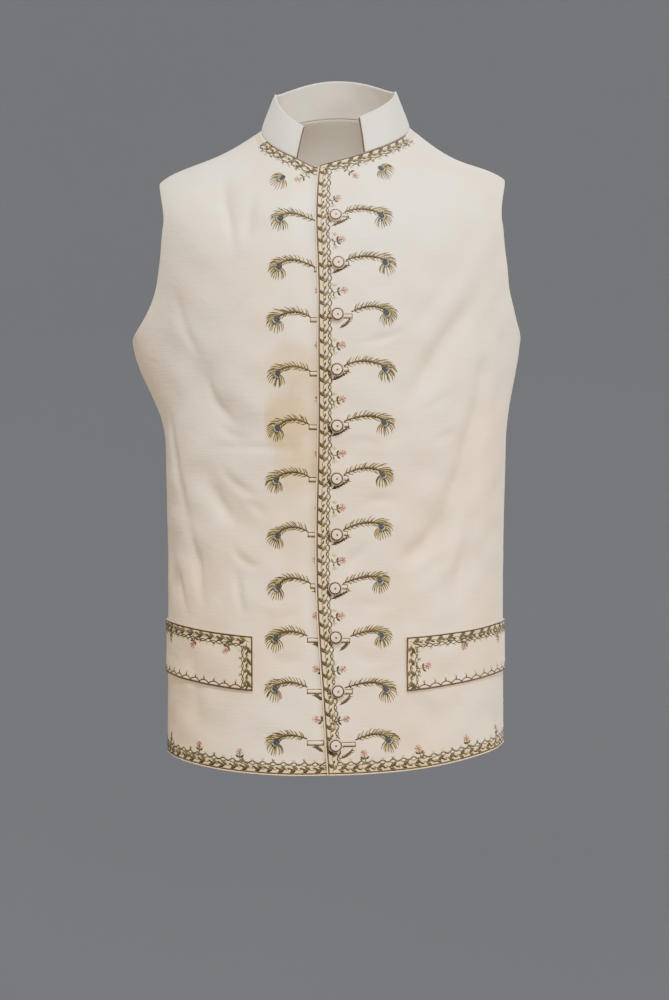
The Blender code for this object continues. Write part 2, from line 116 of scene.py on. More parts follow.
# Finer creases, which the solids leave out
FRONT_CREASES = (
    Fold(-0.026, 0.600, -0.029, -0.950, 0.000, 0.0065, -0.0024),
    Fold(0.055, -0.454, 0.124, -0.388, 0.012, 0.0074, -0.0084),
    Fold(0.105, -0.420, 0.174, -0.213, 0.010, 0.0080, -0.0078),
    Fold(0.065, -0.313, 0.178, -0.170, -0.010, 0.0076, -0.0074),
    Fold(0.044, -0.337, 0.076, -0.296, 0.004, 0.0060, -0.0028),
    Fold(0.144, -0.385, 0.123, -0.509, -0.004, 0.0066, -0.0048),
    Fold(0.126, -0.440, 0.074, -0.479, 0.003, 0.0060, -0.0036),
    Fold(0.020, -0.229, 0.081, -0.212, 0.003, 0.0032, -0.0020),
    Fold(0.020, -0.392, 0.067, -0.388, -0.005, 0.0038, -0.0019),
    Fold(0.001, -0.461, 0.040, -0.423, -0.000, 0.0040, -0.0025),
    Fold(0.046, -0.074, 0.080, -0.064, -0.000, 0.0038, -0.0023),
    Fold(0.149, -0.148, 0.065, -0.238, 0.005, 0.0066, -0.0029),
    Fold(0.077, -0.304, 0.131, -0.275, 0.000, 0.0034, -0.0014),
    Fold(0.090, -0.333, 0.133, -0.315, -0.000, 0.0034, -0.0012),
    Fold(0.026, -0.173, 0.080, -0.160, 0.004, 0.0036, -0.0013),
    Fold(0.009, -0.330, 0.049, -0.333, -0.005, 0.0034, -0.0013),
    Fold(-0.126, -0.063, -0.101, -0.154, -0.005, 0.0040, -0.0032),
    Fold(-0.080, -0.072, -0.089, -0.137, 0.000, 0.0047, -0.0025),
    Fold(-0.071, -0.173, -0.143, -0.255, 0.005, 0.0029, -0.0019),
    Fold(-0.140, -0.254, -0.093, -0.316, 0.011, 0.0040, -0.0026),
    Fold(-0.147, -0.334, -0.020, -0.335, -0.001, 0.0029, -0.0015),
    Fold(-0.125, -0.346, -0.068, -0.384, 0.009, 0.0040, -0.0022),
    Fold(-0.137, -0.368, -0.098, -0.417, 0.003, 0.0046, -0.0029),
    Fold(-0.109, -0.429, -0.068, -0.454, 0.009, 0.0034, -0.0020),
    Fold(-0.102, -0.454, -0.095, -0.511, -0.000, 0.0034, -0.0026),
    Fold(-0.161, -0.404, -0.137, -0.514, 0.002, 0.0042, -0.0032),
    Fold(-0.180, -0.181, -0.140, -0.252, 0.004, 0.0044, -0.0022),
    Fold(-0.203, -0.288, -0.155, -0.439, -0.000, 0.0047, -0.0026),
    Fold(-0.184, -0.466, -0.162, -0.518, 0.000, 0.0038, -0.0016),
    Fold(-0.129, -0.307, -0.081, -0.326, 0.006, 0.0036, -0.0015),
    Fold(-0.098, -0.387, -0.066, -0.406, -0.003, 0.0038, -0.0016),
    Fold(-0.159, -0.538, -0.156, -0.642, -0.007, 0.0066, -0.0020),
    Fold(-0.080, -0.488, -0.074, -0.577, -0.014, 0.0057, -0.0015),
    Fold(0.085, -0.579, 0.094, -0.641, -0.007, 0.0066, -0.0022),
    Fold(0.017, -0.485, 0.069, -0.483, 0.006, 0.0043, -0.0015),
    Fold(0.014, -0.540, 0.061, -0.537, 0.007, 0.0047, -0.0015),
    Fold(-0.074, -0.543, -0.022, -0.537, 0.008, 0.0047, -0.0015),
    Fold(-0.087, -0.501, -0.023, -0.492, 0.007, 0.0043, -0.0013),
)
BACK_CREASES = (
    Fold(-0.050, -0.360, -0.005, -0.440, 0.005, 0.0080, -0.0014),
    Fold(0.055, -0.370, 0.010, -0.455, -0.004, 0.0075, -0.0012),
    Fold(-0.120, -0.240, -0.070, -0.330, 0.006, 0.0070, -0.0012),
    Fold(0.128, -0.250, 0.076, -0.345, -0.007, 0.0075, -0.0011),
    Fold(-0.030, -0.060, -0.038, -0.150, 0.002, 0.0080, -0.0010),
    Fold(0.034, -0.070, 0.040, -0.170, -0.002, 0.0080, -0.0009),
    Fold(-0.100, -0.520, -0.070, -0.620, 0.004, 0.0100, -0.0016),
    Fold(0.110, -0.530, 0.090, -0.630, -0.004, 0.0095, -0.0014),
    Fold(0.010, -0.540, 0.004, -0.630, 0.002, 0.0110, 0.0012),
    Fold(-0.150, -0.400, -0.120, -0.470, 0.003, 0.0080, -0.0012),
    Fold(0.155, -0.420, 0.122, -0.500, -0.003, 0.0080, -0.0012),
)

COLLAR_RIGHT_END, COLLAR_LEFT_END = -29.7, 21.8
COLLAR_RISE, COLLAR_RISE_RIGHT, COLLAR_LEAN, COLLAR_CURL = 0.038, 0.034, 0.0140, 1.2
WELT_TOP, WELT_BOTTOM, WELT_LENGTH = -0.5245, -0.5790, 0.160
WELT_START_LEFT, WELT_START_RIGHT = 0.0715, -0.0835

BUTTON_TOP = -0.0994
BUTTON_STEPS_DOWN = (0.048, 0.052, 0.055, 0.056, 0.053, 0.056, 0.054, 0.049, 0.054, 0.054)
BUTTON_HEIGHTS = BUTTON_TOP - np.cumsum((0.0,) + BUTTON_STEPS_DOWN)
BUTTON_ARCS = (0.0036, 0.0051, 0.0035, 0.0026, 0.0016, 0.0012, 0.0014, -0.0002, 0.0006, 0.0026, 0.0)
BUTTON_GAP = 0.0005
ROW_X = 0.0010

RING_ANGLES = np.radians(np.linspace(-180.0, 360.0, 1621))
NUDGE = 0.002


def even_bend_slopes(knots, values):
    """Slopes at the knots that let the bend of one cubic run on evenly into the next."""
    step = np.diff(knots)
    rise = np.diff(values, axis=0) / step[:, None]
    system = np.zeros((len(knots), len(knots)))
    right_side = np.zeros(values.shape)
    for i in range(len(step)):
        system[i : i + 2, i : i + 2] += np.array([[2.0, 1.0], [1.0, 2.0]]) / step[i]
        right_side[i : i + 2] += 3.0 * rise[i] / step[i]
    return np.linalg.solve(system, right_side)


def smooth_between(knots, values, at):
    """Cubics through the values at the knots, without a break in slope or bend."""
    slopes = even_bend_slopes(knots, values)
    at = np.clip(at, knots[0], knots[-1])
    low = np.clip(np.searchsorted(knots, at, side="right") - 1, 0, len(knots) - 2)
    span = (knots[low + 1] - knots[low])[..., None]
    share = (at - knots[low])[..., None] / span
    rise = share * share * (3.0 - 2.0 * share)
    lead = share * (1.0 - share) ** 2 * span
    trail = share * share * (share - 1.0) * span
    held = values[low] * (1.0 - rise) + values[low + 1] * rise
    return held + slopes[low] * lead + slopes[low + 1] * trail


def ease(share):
    """Smooth step from 0 to 1."""
    share = np.clip(share, 0.0, 1.0)
    return share * share * (3.0 - 2.0 * share)


def section_stations():
    """Distance of each section up the garment: the mean of its steps at the front, side and back."""
    table = np.array(SECTIONS)
    lines = (table[:, [4, 0]], table[:, [3, 1]], table[:, [5, 2]])
    steps = [np.linalg.norm(np.diff(line, axis=0), axis=1) for line in lines]
    return np.concatenate([[0.0], np.cumsum(np.mean(steps, axis=0))])


STATIONS = section_stations()
TOP_STATION = STATIONS[-1]


def station_of(section_number):
    """Station of a section counted from the hem, which may lie between two of them."""
    return float(np.interp(section_number, np.arange(len(STATIONS)), STATIONS))


def section_at(station):
    """The skin's section at each station, one row of Section's columns each."""
    return smooth_between(STATIONS, np.array(SECTIONS), np.asarray(station, float))


def station_at_height(front_height):
    """Station whose section has this height at the centre front."""
    fine = np.linspace(STATIONS[0], TOP_STATION, 800)
    return np.interp(front_height, section_at(fine)[:, 0], fine)


def ring(station):
    """Points round each station's section at RING_ANGLES, and their arcs from the centre front.

    A section is a superellipse: x and y go with the signed powers of sine and cosine. Its height
    dips towards the centre front and back with the square of the cosine's power, and a share of
    the front's dip, the vee, runs to a point instead.
    """
    front_z, side_z, back_z, half_width, front_y, back_y, squareness, shift, tilt, vee = (
        column[:, None] for column in section_at(station).T
    )
    power = 2.0 / squareness
    across = np.sign(np.sin(RING_ANGLES)) * np.abs(np.sin(RING_ANGLES)) ** power
    along = np.abs(np.cos(RING_ANGLES)) ** power
    facing = np.cos(RING_ANGLES) > 0.0
    x = half_width * across
    aside = x - NECK_POINT_X
    to_side = np.abs(aside) / (half_width + np.where(aside > 0.0, -NECK_POINT_X, NECK_POINT_X))
    pointed = np.sqrt(np.clip(1.0 - to_side, 0.0, 1.0)) - along**2
    dip = (np.where(facing, front_z, back_z) - side_z) * along**2
    lift = np.where(facing, vee * (front_z - side_z) * pointed, 0.0)
    y = np.where(facing, front_y, back_y) * along + NECK_SLOPE * lift
    z = side_z + dip + lift + tilt * x
    points = np.stack([x + shift, y, z], axis=-1)
    steps = np.linalg.norm(np.diff(points, axis=1), axis=2)
    arcs = np.concatenate([np.zeros((len(points), 1)), np.cumsum(steps, axis=1)], axis=1)
    centre = np.argmin(np.abs(RING_ANGLES))
    return points, arcs - arcs[:, centre : centre + 1]


def arc_at_angle(station, degrees):
    """Arc of the skin's point at this angle, for each station."""
    _, arcs = ring(station)
    degrees = np.broadcast_to(degrees, len(arcs))
    return np.array([np.interp(math.radians(d), RING_ANGLES, row) for d, row in zip(degrees, arcs)])


def bare_skin(station, arc):
    """Points of the skin without folds, and their angles in degrees: one row for each station."""
    points, arcs = ring(station)
    found = np.empty(arc.shape + (3,))
    angle = np.empty(arc.shape)
    for i, row in enumerate(arcs):
        angle[i] = np.degrees(np.interp(arc[i], row, RING_ANGLES))
        for k in range(3):
            found[i, :, k] = np.interp(arc[i], row, points[i, :, k])
    return found, angle


def skin_frame(station, arc):
    """Points of the skin without folds, its outward directions and the angles."""
    here, angle = bare_skin(station, arc)
    round_step = bare_skin(station, arc + NUDGE)[0] - bare_skin(station, arc - NUDGE)[0]
    above = np.minimum(station + NUDGE, STATIONS[-1])
    below = np.maximum(station - NUDGE, STATIONS[0])
    up_step = bare_skin(above, arc)[0] - bare_skin(below, arc)[0]
    outward = np.cross(round_step, up_step)
    return here, outward / np.linalg.norm(outward, axis=2, keepdims=True), angle


def flare(station, angle):
    """How far the skin stands out round the underarm corners."""
    turned = np.where(angle > 180.0, angle - 360.0, angle)
    most = np.where(turned > 0.0, FLARE_LEFT, FLARE_RIGHT)
    beside = np.exp(-0.5 * ((np.abs(turned) - FLARE_ANGLE) / FLARE_SPREAD) ** 2)
    above = station - station_of(UNDERARM)
    away = np.where(above > 0.0, above / FLARE_RISE, -above / FLARE_DROP)
    return most * beside * np.cos(0.5 * math.pi * np.clip(away, 0.0, 1.0))[:, None] ** 2


def fold_relief(folds, across, height):
    """Sum of the folds. Each is a bell across its bowed line, and fades at its ends."""
    total = np.zeros(across.shape)
    for fold in folds:
        run = np.array([fold.across_b - fold.across_a, fold.height_b - fold.height_a])
        length = np.linalg.norm(run)
        run /= length
        east = across - fold.across_a
        north = height - fold.height_a
        share = (east * run[0] + north * run[1]) / length
        inside = np.clip(share, 0.0, 1.0)
        aside = east * run[1] - north * run[0] - fold.bow * 4.0 * inside * (1.0 - inside)
        fade = ease(inside / FOLD_END) * ease((1.0 - inside) / FOLD_END)
        total += fold.depth * fade * np.exp(-0.5 * (aside / fold.reach) ** 2)
    return total


WAVES = 14
WAVE_LENGTHS = (0.035, 0.110)
WAVE_DEPTH = 0.00022
NECK_CALM = -0.045  # above this height the back lies smooth


def unevenness(across, height, seed):
    """Slight unevenness of hanging cloth: the sum of plane waves of many lengths and directions."""
    draw = np.random.default_rng(seed)
    total = np.zeros(across.shape)
    for _ in range(WAVES):
        turn = draw.uniform(0.0, math.pi)
        length = draw.uniform(*WAVE_LENGTHS)
        phase = draw.uniform(0.0, 2.0 * math.pi)
        run = across * math.cos(turn) + height * math.sin(turn)
        total += WAVE_DEPTH * np.sin(2.0 * math.pi * run / length + phase)
    return total


def front_skin(station, arc):
    """Outer face of the fronts, with folds and creases, and the outward directions."""
    here, outward, angle = skin_frame(station, arc)
    height = np.broadcast_to(section_at(station)[:, 0:1], arc.shape)
    out = flare(station, angle) + fold_relief(FRONT_FOLDS + FRONT_CREASES, arc, height)
    calm = ease((92.0 - np.abs(angle)) / 25.0)
    out += calm * unevenness(arc, height, 5)
    return here + outward * out[..., None], outward


def back_skin(station, arc):
    """Outer face of the back, with its folds and creases."""
    here, outward, angle = skin_frame(station, arc)
    centre = arc_at_angle(station, 180.0)[:, None]
    height = np.broadcast_to(section_at(station)[:, 2:3], arc.shape)
    out = flare(station, angle) + fold_relief(BACK_FOLDS + BACK_CREASES, arc - centre, height)
    calm = ease((72.0 - np.abs(angle - 180.0)) / 25.0) * ease((NECK_CALM - height) / 0.08)
    out += calm * unevenness(arc, height, 6)
    return here + outward * out[..., None]


def right_front_skin(station, arc):
    """Outer face of the right front, which sinks where the left one covers it."""
    points, outward = front_skin(station, arc)
    past_start = arc - edge_arc(LEFT_EDGE, station)[:, None] + LAP_EASE
    covered = ease(past_start / (LAP_SUNK * LAP_EASE))
    return points - outward * ((CLOTH + LAP_GAP) * covered)[..., None]


def outer_angle(station, armhole_edge):
    """Angle of a panel's outer edge: the side seam, half an oval round the armhole, the shoulder."""
    underarm, waist, shoulder = station_of(UNDERARM), station_of(ARMHOLE_WAIST), station_of(SHOULDER)
    low = np.clip((waist - station) / (waist - underarm), 0.0, 1.0)
    high = np.clip((station - waist) / (shoulder - waist), 0.0, 1.0)
    from_side = armhole_edge + (SIDE_SEAM - armhole_edge) * (1.0 - np.sqrt(1.0 - low**ARMHOLE_SPREAD))
    from_top = armhole_edge + (SHOULDER_SEAM - armhole_edge) * (1.0 - np.sqrt(1.0 - high**2))
    return np.where(station < waist, from_side, from_top)


def edge_arc(edge, station):
    """Arc of a front's centre edge at each station."""
    heights, arcs = np.array(edge).T
    return smooth_between(heights, arcs[:, None], section_at(station)[:, 0])[:, 0]


# ---------------------------------------------------------------------------------------------
# Cloth walls
# ---------------------------------------------------------------------------------------------

RIM_STEPS = (0.0, 0.00012, 0.00040, 0.00090)


def with_rims(start, end, count):
    """Steps from start to end that are even, and much finer at both ends, for the rounded rims."""
    rim = np.array(RIM_STEPS)
    middle = np.linspace(start + rim[-1], end - rim[-1], count)
    return np.concatenate([start + rim[:-1], middle, end - rim[-2::-1]])


def panel_stations():
    """Stations of a panel's rows, closer together where the armhole's edge turns."""
    underarm, waist, shoulder = station_of(UNDERARM), station_of(ARMHOLE_WAIST), station_of(SHOULDER)
    turn = np.sin(np.linspace(0.0, 0.5 * math.pi, 31))
    below = np.linspace(RIM_STEPS[-1], underarm, 170)
    lower = waist - (waist - underarm) * turn[::-1]
    upper = waist + (shoulder - waist) * turn
    yoke = np.linspace(shoulder, TOP_STATION - RIM_STEPS[-1], 25)
    rim = np.array(RIM_STEPS[:-1])
    return np.concatenate([rim, below, lower[1:], upper[1:], yoke[1:], TOP_STATION - rim[::-1]])


def panel_arcs(low, high, columns):
    """Arcs of each row from its low to its high, in even steps between finer rims."""
    rows = [with_rims(a, b, columns) for a, b in zip(low, high)]
    return np.array(rows)


def grid_normals(points):
    """Outward unit directions of a grid whose columns run with the arc and rows up the garment."""
    across = np.gradient(points, axis=1)
    upward = np.gradient(points, axis=0)
    normal = np.cross(across, upward)
    return normal / np.linalg.norm(normal, axis=-1, keepdims=True)


def distance_to_outline(points):
    """Distance of each grid point to the grid's outline, worked out near it and large elsewhere."""
    outline = np.concatenate([points[0], points[1:, -1], points[-1, -2::-1], points[-2::-1, 0]])
    share = np.linspace(0.0, 1.0, 13)[:-1, None, None]
    fine = (outline[:-1] * (1.0 - share) + outline[1:] * share).reshape(-1, 3)
    near = np.ones(points.shape[:2], bool)
    near[8:-8, 8:-8] = False
    places = points[near]
    square = (places**2).sum(1)[:, None] + (fine**2).sum(1) - 2.0 * places @ fine.T
    distance = np.full(points.shape[:2], 1.0)
    distance[near] = np.sqrt(np.clip(square.min(axis=1), 0.0, None))
    return distance


def mesh_of_quads(name, points, quads):
    """Mesh of four-sided faces from whole arrays."""
    mesh = bpy.data.meshes.new(name)
    mesh.vertices.add(len(points))
    mesh.vertices.foreach_set("co", np.ascontiguousarray(points, np.float32).ravel())
    mesh.loops.add(quads.size)
    mesh.loops.foreach_set("vertex_index", np.ascontiguousarray(quads, np.int32).ravel())
    mesh.polygons.add(len(quads))
    mesh.polygons.foreach_set("loop_start", np.arange(0, quads.size, 4, dtype=np.int32))
    mesh.update(calc_edges=True)
    mesh.shade_smooth()
    return mesh


def add_map(mesh, name, values, quads):
    """UV map from one pair of values for each point."""
    layer = mesh.uv_layers.new(name=name)
    layer.data.foreach_set("uv", np.ascontiguousarray(values[quads.ravel()], np.float32).ravel())


def add_vector(mesh, name, values):
    """Attribute of three numbers for each point."""
    layer = mesh.attributes.new(name, "FLOAT_VECTOR", "POINT")
    layer.data.foreach_set("vector", np.ascontiguousarray(values, np.float32).ravel())


def add_piece(name, mesh, materials):
    """New object at the origin with these materials."""
    for material in materials:
        mesh.materials.append(material)
    obj = bpy.data.objects.new(name, mesh)
    bpy.context.scene.collection.objects.link(obj)
    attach(obj, "root")
    return obj


def cloth_wall(name, outer, thickness, cut, margins, outside, inside):
    """Closed wall of cloth with a rounded rim.

    The middle lies half a thickness inside the outer grid. Both faces stand off it by the height
    of a circle of that half thickness, which falls to nothing at the outline, where they meet.
    """
    half = 0.5 * thickness
    normal = grid_normals(outer)
    reach = np.minimum(distance_to_outline(outer), half)
    bulge = np.sqrt(half**2 - (half - reach) ** 2)[..., None]
    middle = outer - normal * half
    rows, columns = outer.shape[:2]
    face = np.arange(rows * columns).reshape(rows, columns)
    lining = face + rows * columns
    for edge in (np.s_[0], np.s_[-1], np.s_[:, 0], np.s_[:, -1]):
        lining[edge] = face[edge]
    points = np.concatenate([(middle + normal * bulge).reshape(-1, 3), (middle - normal * bulge).reshape(-1, 3)])
    corners = (np.s_[:-1, :-1], np.s_[:-1, 1:], np.s_[1:, 1:], np.s_[1:, :-1])
    front = np.stack([face[c].ravel() for c in corners], axis=1)
    behind = np.stack([lining[c].ravel() for c in reversed(corners)], axis=1)
    quads = np.concatenate([front, behind])
    used, quads = np.unique(quads, return_inverse=True)
    quads = quads.reshape(-1, 4)
    mesh = mesh_of_quads(name, points[used], quads)
    add_map(mesh, "cut", np.concatenate([cut.reshape(-1, 2)] * 2)[used], quads)
    add_vector(mesh, "margins", np.concatenate([margins.reshape(-1, 3)] * 2)[used])
    which = (np.arange(len(quads)) >= len(front)).astype(np.int32)
    mesh.polygons.foreach_set("material_index", which)
    return add_piece(name, mesh, (outside, inside))


def length_from_top(points):
    """Distance of each grid point down its own column from the top row."""
    steps = np.linalg.norm(np.diff(points, axis=0), axis=2)
    down = np.cumsum(steps[::-1], axis=0)[::-1]
    return np.concatenate([down, np.zeros((1, points.shape[1]))])


FAR = 1.0


def make_front(name, left, outside, inside):
    """A front, from its centre edge to its side seam, armhole and shoulder seam."""
    station = panel_stations()
    if left:
        low = edge_arc(LEFT_EDGE, station)
        high = arc_at_angle(station, outer_angle(station, CHEST_EDGE)) - 0.5 * SEAM_GAP
    else:
        low = arc_at_angle(station, -outer_angle(station, CHEST_EDGE)) + 0.5 * SEAM_GAP
        high = edge_arc(RIGHT_EDGE, station)
    arc = panel_arcs(low, high, 140)
    points = front_skin(station, arc)[0] if left else right_front_skin(station, arc)
    cut = np.stack([arc, np.broadcast_to(station[:, None], arc.shape)], axis=-1)
    from_centre = arc - low[:, None] if left else np.full(arc.shape, FAR)
    margins = np.stack([from_centre, cut[..., 1], length_from_top(points)], axis=-1)
    piece = cloth_wall(name, points, CLOTH, cut, margins, outside, inside)
    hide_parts(name)
    return piece


def make_back(outside, inside):
    """Back, from one side seam round to the other."""
    station = panel_stations()
    edge = outer_angle(station, BLADE_EDGE)
    low = arc_at_angle(station, edge) + 0.5 * SEAM_GAP
    high = arc_at_angle(station, 360.0 - edge) - 0.5 * SEAM_GAP
    arc = panel_arcs(low, high, 130)
    points = back_skin(station, arc)
    cut = np.stack([arc, np.broadcast_to(station[:, None], arc.shape)], axis=-1)
    centre = arc_at_angle(station, 180.0)[:, None]
    margins = np.stack([arc - centre, cut[..., 1], length_from_top(points)], axis=-1)
    piece = cloth_wall("back", points, CLOTH, cut, margins, outside, inside)
    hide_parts("back")
    return piece


COLLAR_FOLDS = (
    Fold(0.014, 0.000, 0.006, 0.030, 0.001, 0.0030, -0.0009),
    Fold(0.028, 0.002, 0.014, 0.036, 0.002, 0.0035, -0.0008),
    Fold(0.044, 0.000, 0.034, 0.038, 0.002, 0.0050, 0.0007),
    Fold(0.066, 0.000, 0.056, 0.038, 0.001, 0.0055, -0.0008),
    Fold(0.090, 0.006, 0.094, 0.038, 0.001, 0.0060, -0.0005),
    Fold(0.128, 0.000, 0.120, 0.034, 0.001, 0.0070, 0.0006),
    Fold(0.160, 0.004, 0.168, 0.038, 0.001, 0.0070, -0.0006),
    Fold(0.205, 0.000, 0.200, 0.036, 0.001, 0.0070, -0.0007),
    Fold(0.240, 0.002, 0.252, 0.038, 0.001, 0.0060, 0.0006),
    Fold(0.272, 0.000, 0.286, 0.036, 0.002, 0.0050, -0.0008),
    Fold(0.300, 0.000, 0.312, 0.032, 0.001, 0.0045, 0.0006),
    Fold(0.318, 0.002, 0.330, 0.034, 0.002, 0.0035, -0.0009),
    Fold(0.336, 0.004, 0.342, 0.030, 0.001, 0.0030, -0.0007),
)


def collar_surface(along, share):
    """Outer face of the collar: the neckline's ring, carried up by its rise and in by its lean."""
    neck = np.array([TOP_STATION])
    base, angle = bare_skin(neck, along[None, :])
    base, angle = base[0], np.radians(angle[0])
    away = np.stack([np.sin(angle), -np.cos(angle), np.zeros(len(angle))], axis=1)
    toward_right_front = ease((np.degrees(angle) - 270.0) / (90.0 + COLLAR_RIGHT_END))
    rise = COLLAR_RISE + (COLLAR_RISE_RIGHT - COLLAR_RISE) * toward_right_front
    lift = SEAM_GAP + rise * share[:, None]
    relief = fold_relief(COLLAR_FOLDS, (along - along[0])[None, :] + 0.0 * share[:, None], lift)
    lean = SEAM_GAP + COLLAR_LEAN * share[:, None] ** COLLAR_CURL - relief
    up = np.array([0.0, 0.0, 1.0])
    return base + lift[..., None] * up - lean[..., None] * away, lift


def collar_ends():
    """Arcs of the collar's two front ends on the neckline, the second past the full round."""
    neck = np.array([TOP_STATION])
    return arc_at_angle(neck, COLLAR_LEFT_END)[0], arc_at_angle(neck, 360.0 + COLLAR_RIGHT_END)[0]


def make_collar(outside, inside):
    """Standing collar, from the left front round the back to the right front."""
    along = with_rims(*collar_ends(), 190)
    share = with_rims(0.0, COLLAR_RISE, 26) / COLLAR_RISE
    points, lift = collar_surface(along, share)
    cut = np.stack([np.broadcast_to(along, lift.shape), lift], axis=-1)
    ends = np.minimum(along - along[0], along[-1] - along)
    margins = np.stack([np.broadcast_to(ends, lift.shape), lift, COLLAR_RISE - lift], axis=-1)
    piece = cloth_wall("collar", points, COLLAR_CLOTH, cut, margins, outside, inside)
    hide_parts("collar")
    return piece


def welt_surface(station, arc, left):
    """Outer face of a welt: the front's points moved out by the gap and the welt's own cloth."""
    skin = front_skin(station, arc)[0] if left else right_front_skin(station, arc)
    return skin + grid_normals(skin) * (WELT_GAP + WELT_CLOTH)


def welt_span(left):
    """Least and greatest arc of a welt."""
    if left:
        return WELT_START_LEFT, WELT_START_LEFT + WELT_LENGTH
    return WELT_START_RIGHT - WELT_LENGTH, WELT_START_RIGHT


def make_welt(name, left, outside, inside):
    """Pocket welt that lies on a front between two section lines."""
    low, high = welt_span(left)
    arcs = with_rims(low, high, 78)
    station = with_rims(station_at_height(WELT_BOTTOM), station_at_height(WELT_TOP), 30)
    arc = np.tile(arcs, (len(station), 1))
    points = welt_surface(station, arc, left)
    cut = np.stack([arc, np.broadcast_to(station[:, None], arc.shape)], axis=-1)
    from_inner_end = arc - low if left else high - arc
    margins = np.stack([from_inner_end, np.full(arc.shape, FAR), length_from_top(points)], axis=-1)
    piece = cloth_wall(name, points, WELT_CLOTH, cut, margins, outside, inside)
    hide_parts(name)
    return piece


# ---------------------------------------------------------------------------------------------
# Drawing on the cloth
# ---------------------------------------------------------------------------------------------


class ClothTable:
    """Outer face of a piece at even arcs and stations, read between them in straight lines."""

    def __init__(self, arcs, stations, points):
        self.start = np.array([arcs[0], stations[0]])
        self.step = np.array([arcs[1] - arcs[0], stations[1] - stations[0]])
        self.size = np.array([len(arcs), len(stations)])
        normal = grid_normals(points)
        by_arc = np.gradient(points, axis=1) / self.step[0]
        by_station = np.gradient(points, axis=0) / self.step[1]
        stretch = np.linalg.norm(by_arc, axis=-1, keepdims=True)
        east = by_arc / stretch
        north = np.cross(normal, east)
        slant = (by_station * east).sum(-1, keepdims=True)
        climb = (by_station * north).sum(-1, keepdims=True)
        self.fields = np.concatenate([points, normal, stretch, slant, climb], axis=-1)

    def read(self, places):
        """Point, outward direction and the three stretches at each (arc, station)."""
        at = (places - self.start) / self.step
        low = np.clip(np.floor(at).astype(int), 0, self.size - 2)
        share = np.clip(at - low, 0.0, 1.0)
        c, r = low[..., 0], low[..., 1]
        u, v = share[..., 0:1], share[..., 1:2]
        below = self.fields[r, c] * (1.0 - u) + self.fields[r, c + 1] * u
        above = self.fields[r + 1, c] * (1.0 - u) + self.fields[r + 1, c + 1] * u
        return below * (1.0 - v) + above * v

    def step_off(self, places, east, north):
        """Places reached by going east and north on the cloth, in two steps that follow its stretch."""
        for _ in range(2):
            fields = self.read(places)
            climb = 0.5 * north / fields[..., 8]
            along = (0.5 * east - climb * fields[..., 7]) / fields[..., 6]
            places = places + np.stack([along, climb], axis=-1)
        return places


class Path:
    """Line on the cloth, measured in millimetres along it and to its left."""

    def __init__(self, table, places):
        self.table = table
        self.places = places
        fields = table.read(places)
        steps = np.linalg.norm(np.diff(fields[:, :3], axis=0), axis=1) / MM
        self.along = np.concatenate([[0.0], np.cumsum(steps)])
        self.length = self.along[-1]
        move = np.gradient(places, axis=0)
        east = move[:, 0] * fields[:, 6] + move[:, 1] * fields[:, 7]
        north = move[:, 1] * fields[:, 8]
        self.heading = np.stack([east, north], axis=1) / np.hypot(east, north)[:, None]

    def at(self, drawn):
        """Places of drawn points (along, aside)."""
        s, d = drawn[..., 0], drawn[..., 1]
        anchor = np.stack([np.interp(s, self.along, self.places[:, k]) for k in (0, 1)], axis=-1)
        east = np.interp(s, self.along, self.heading[:, 0])
        north = np.interp(s, self.along, self.heading[:, 1])
        return self.table.step_off(anchor, -north * d * MM, east * d * MM)


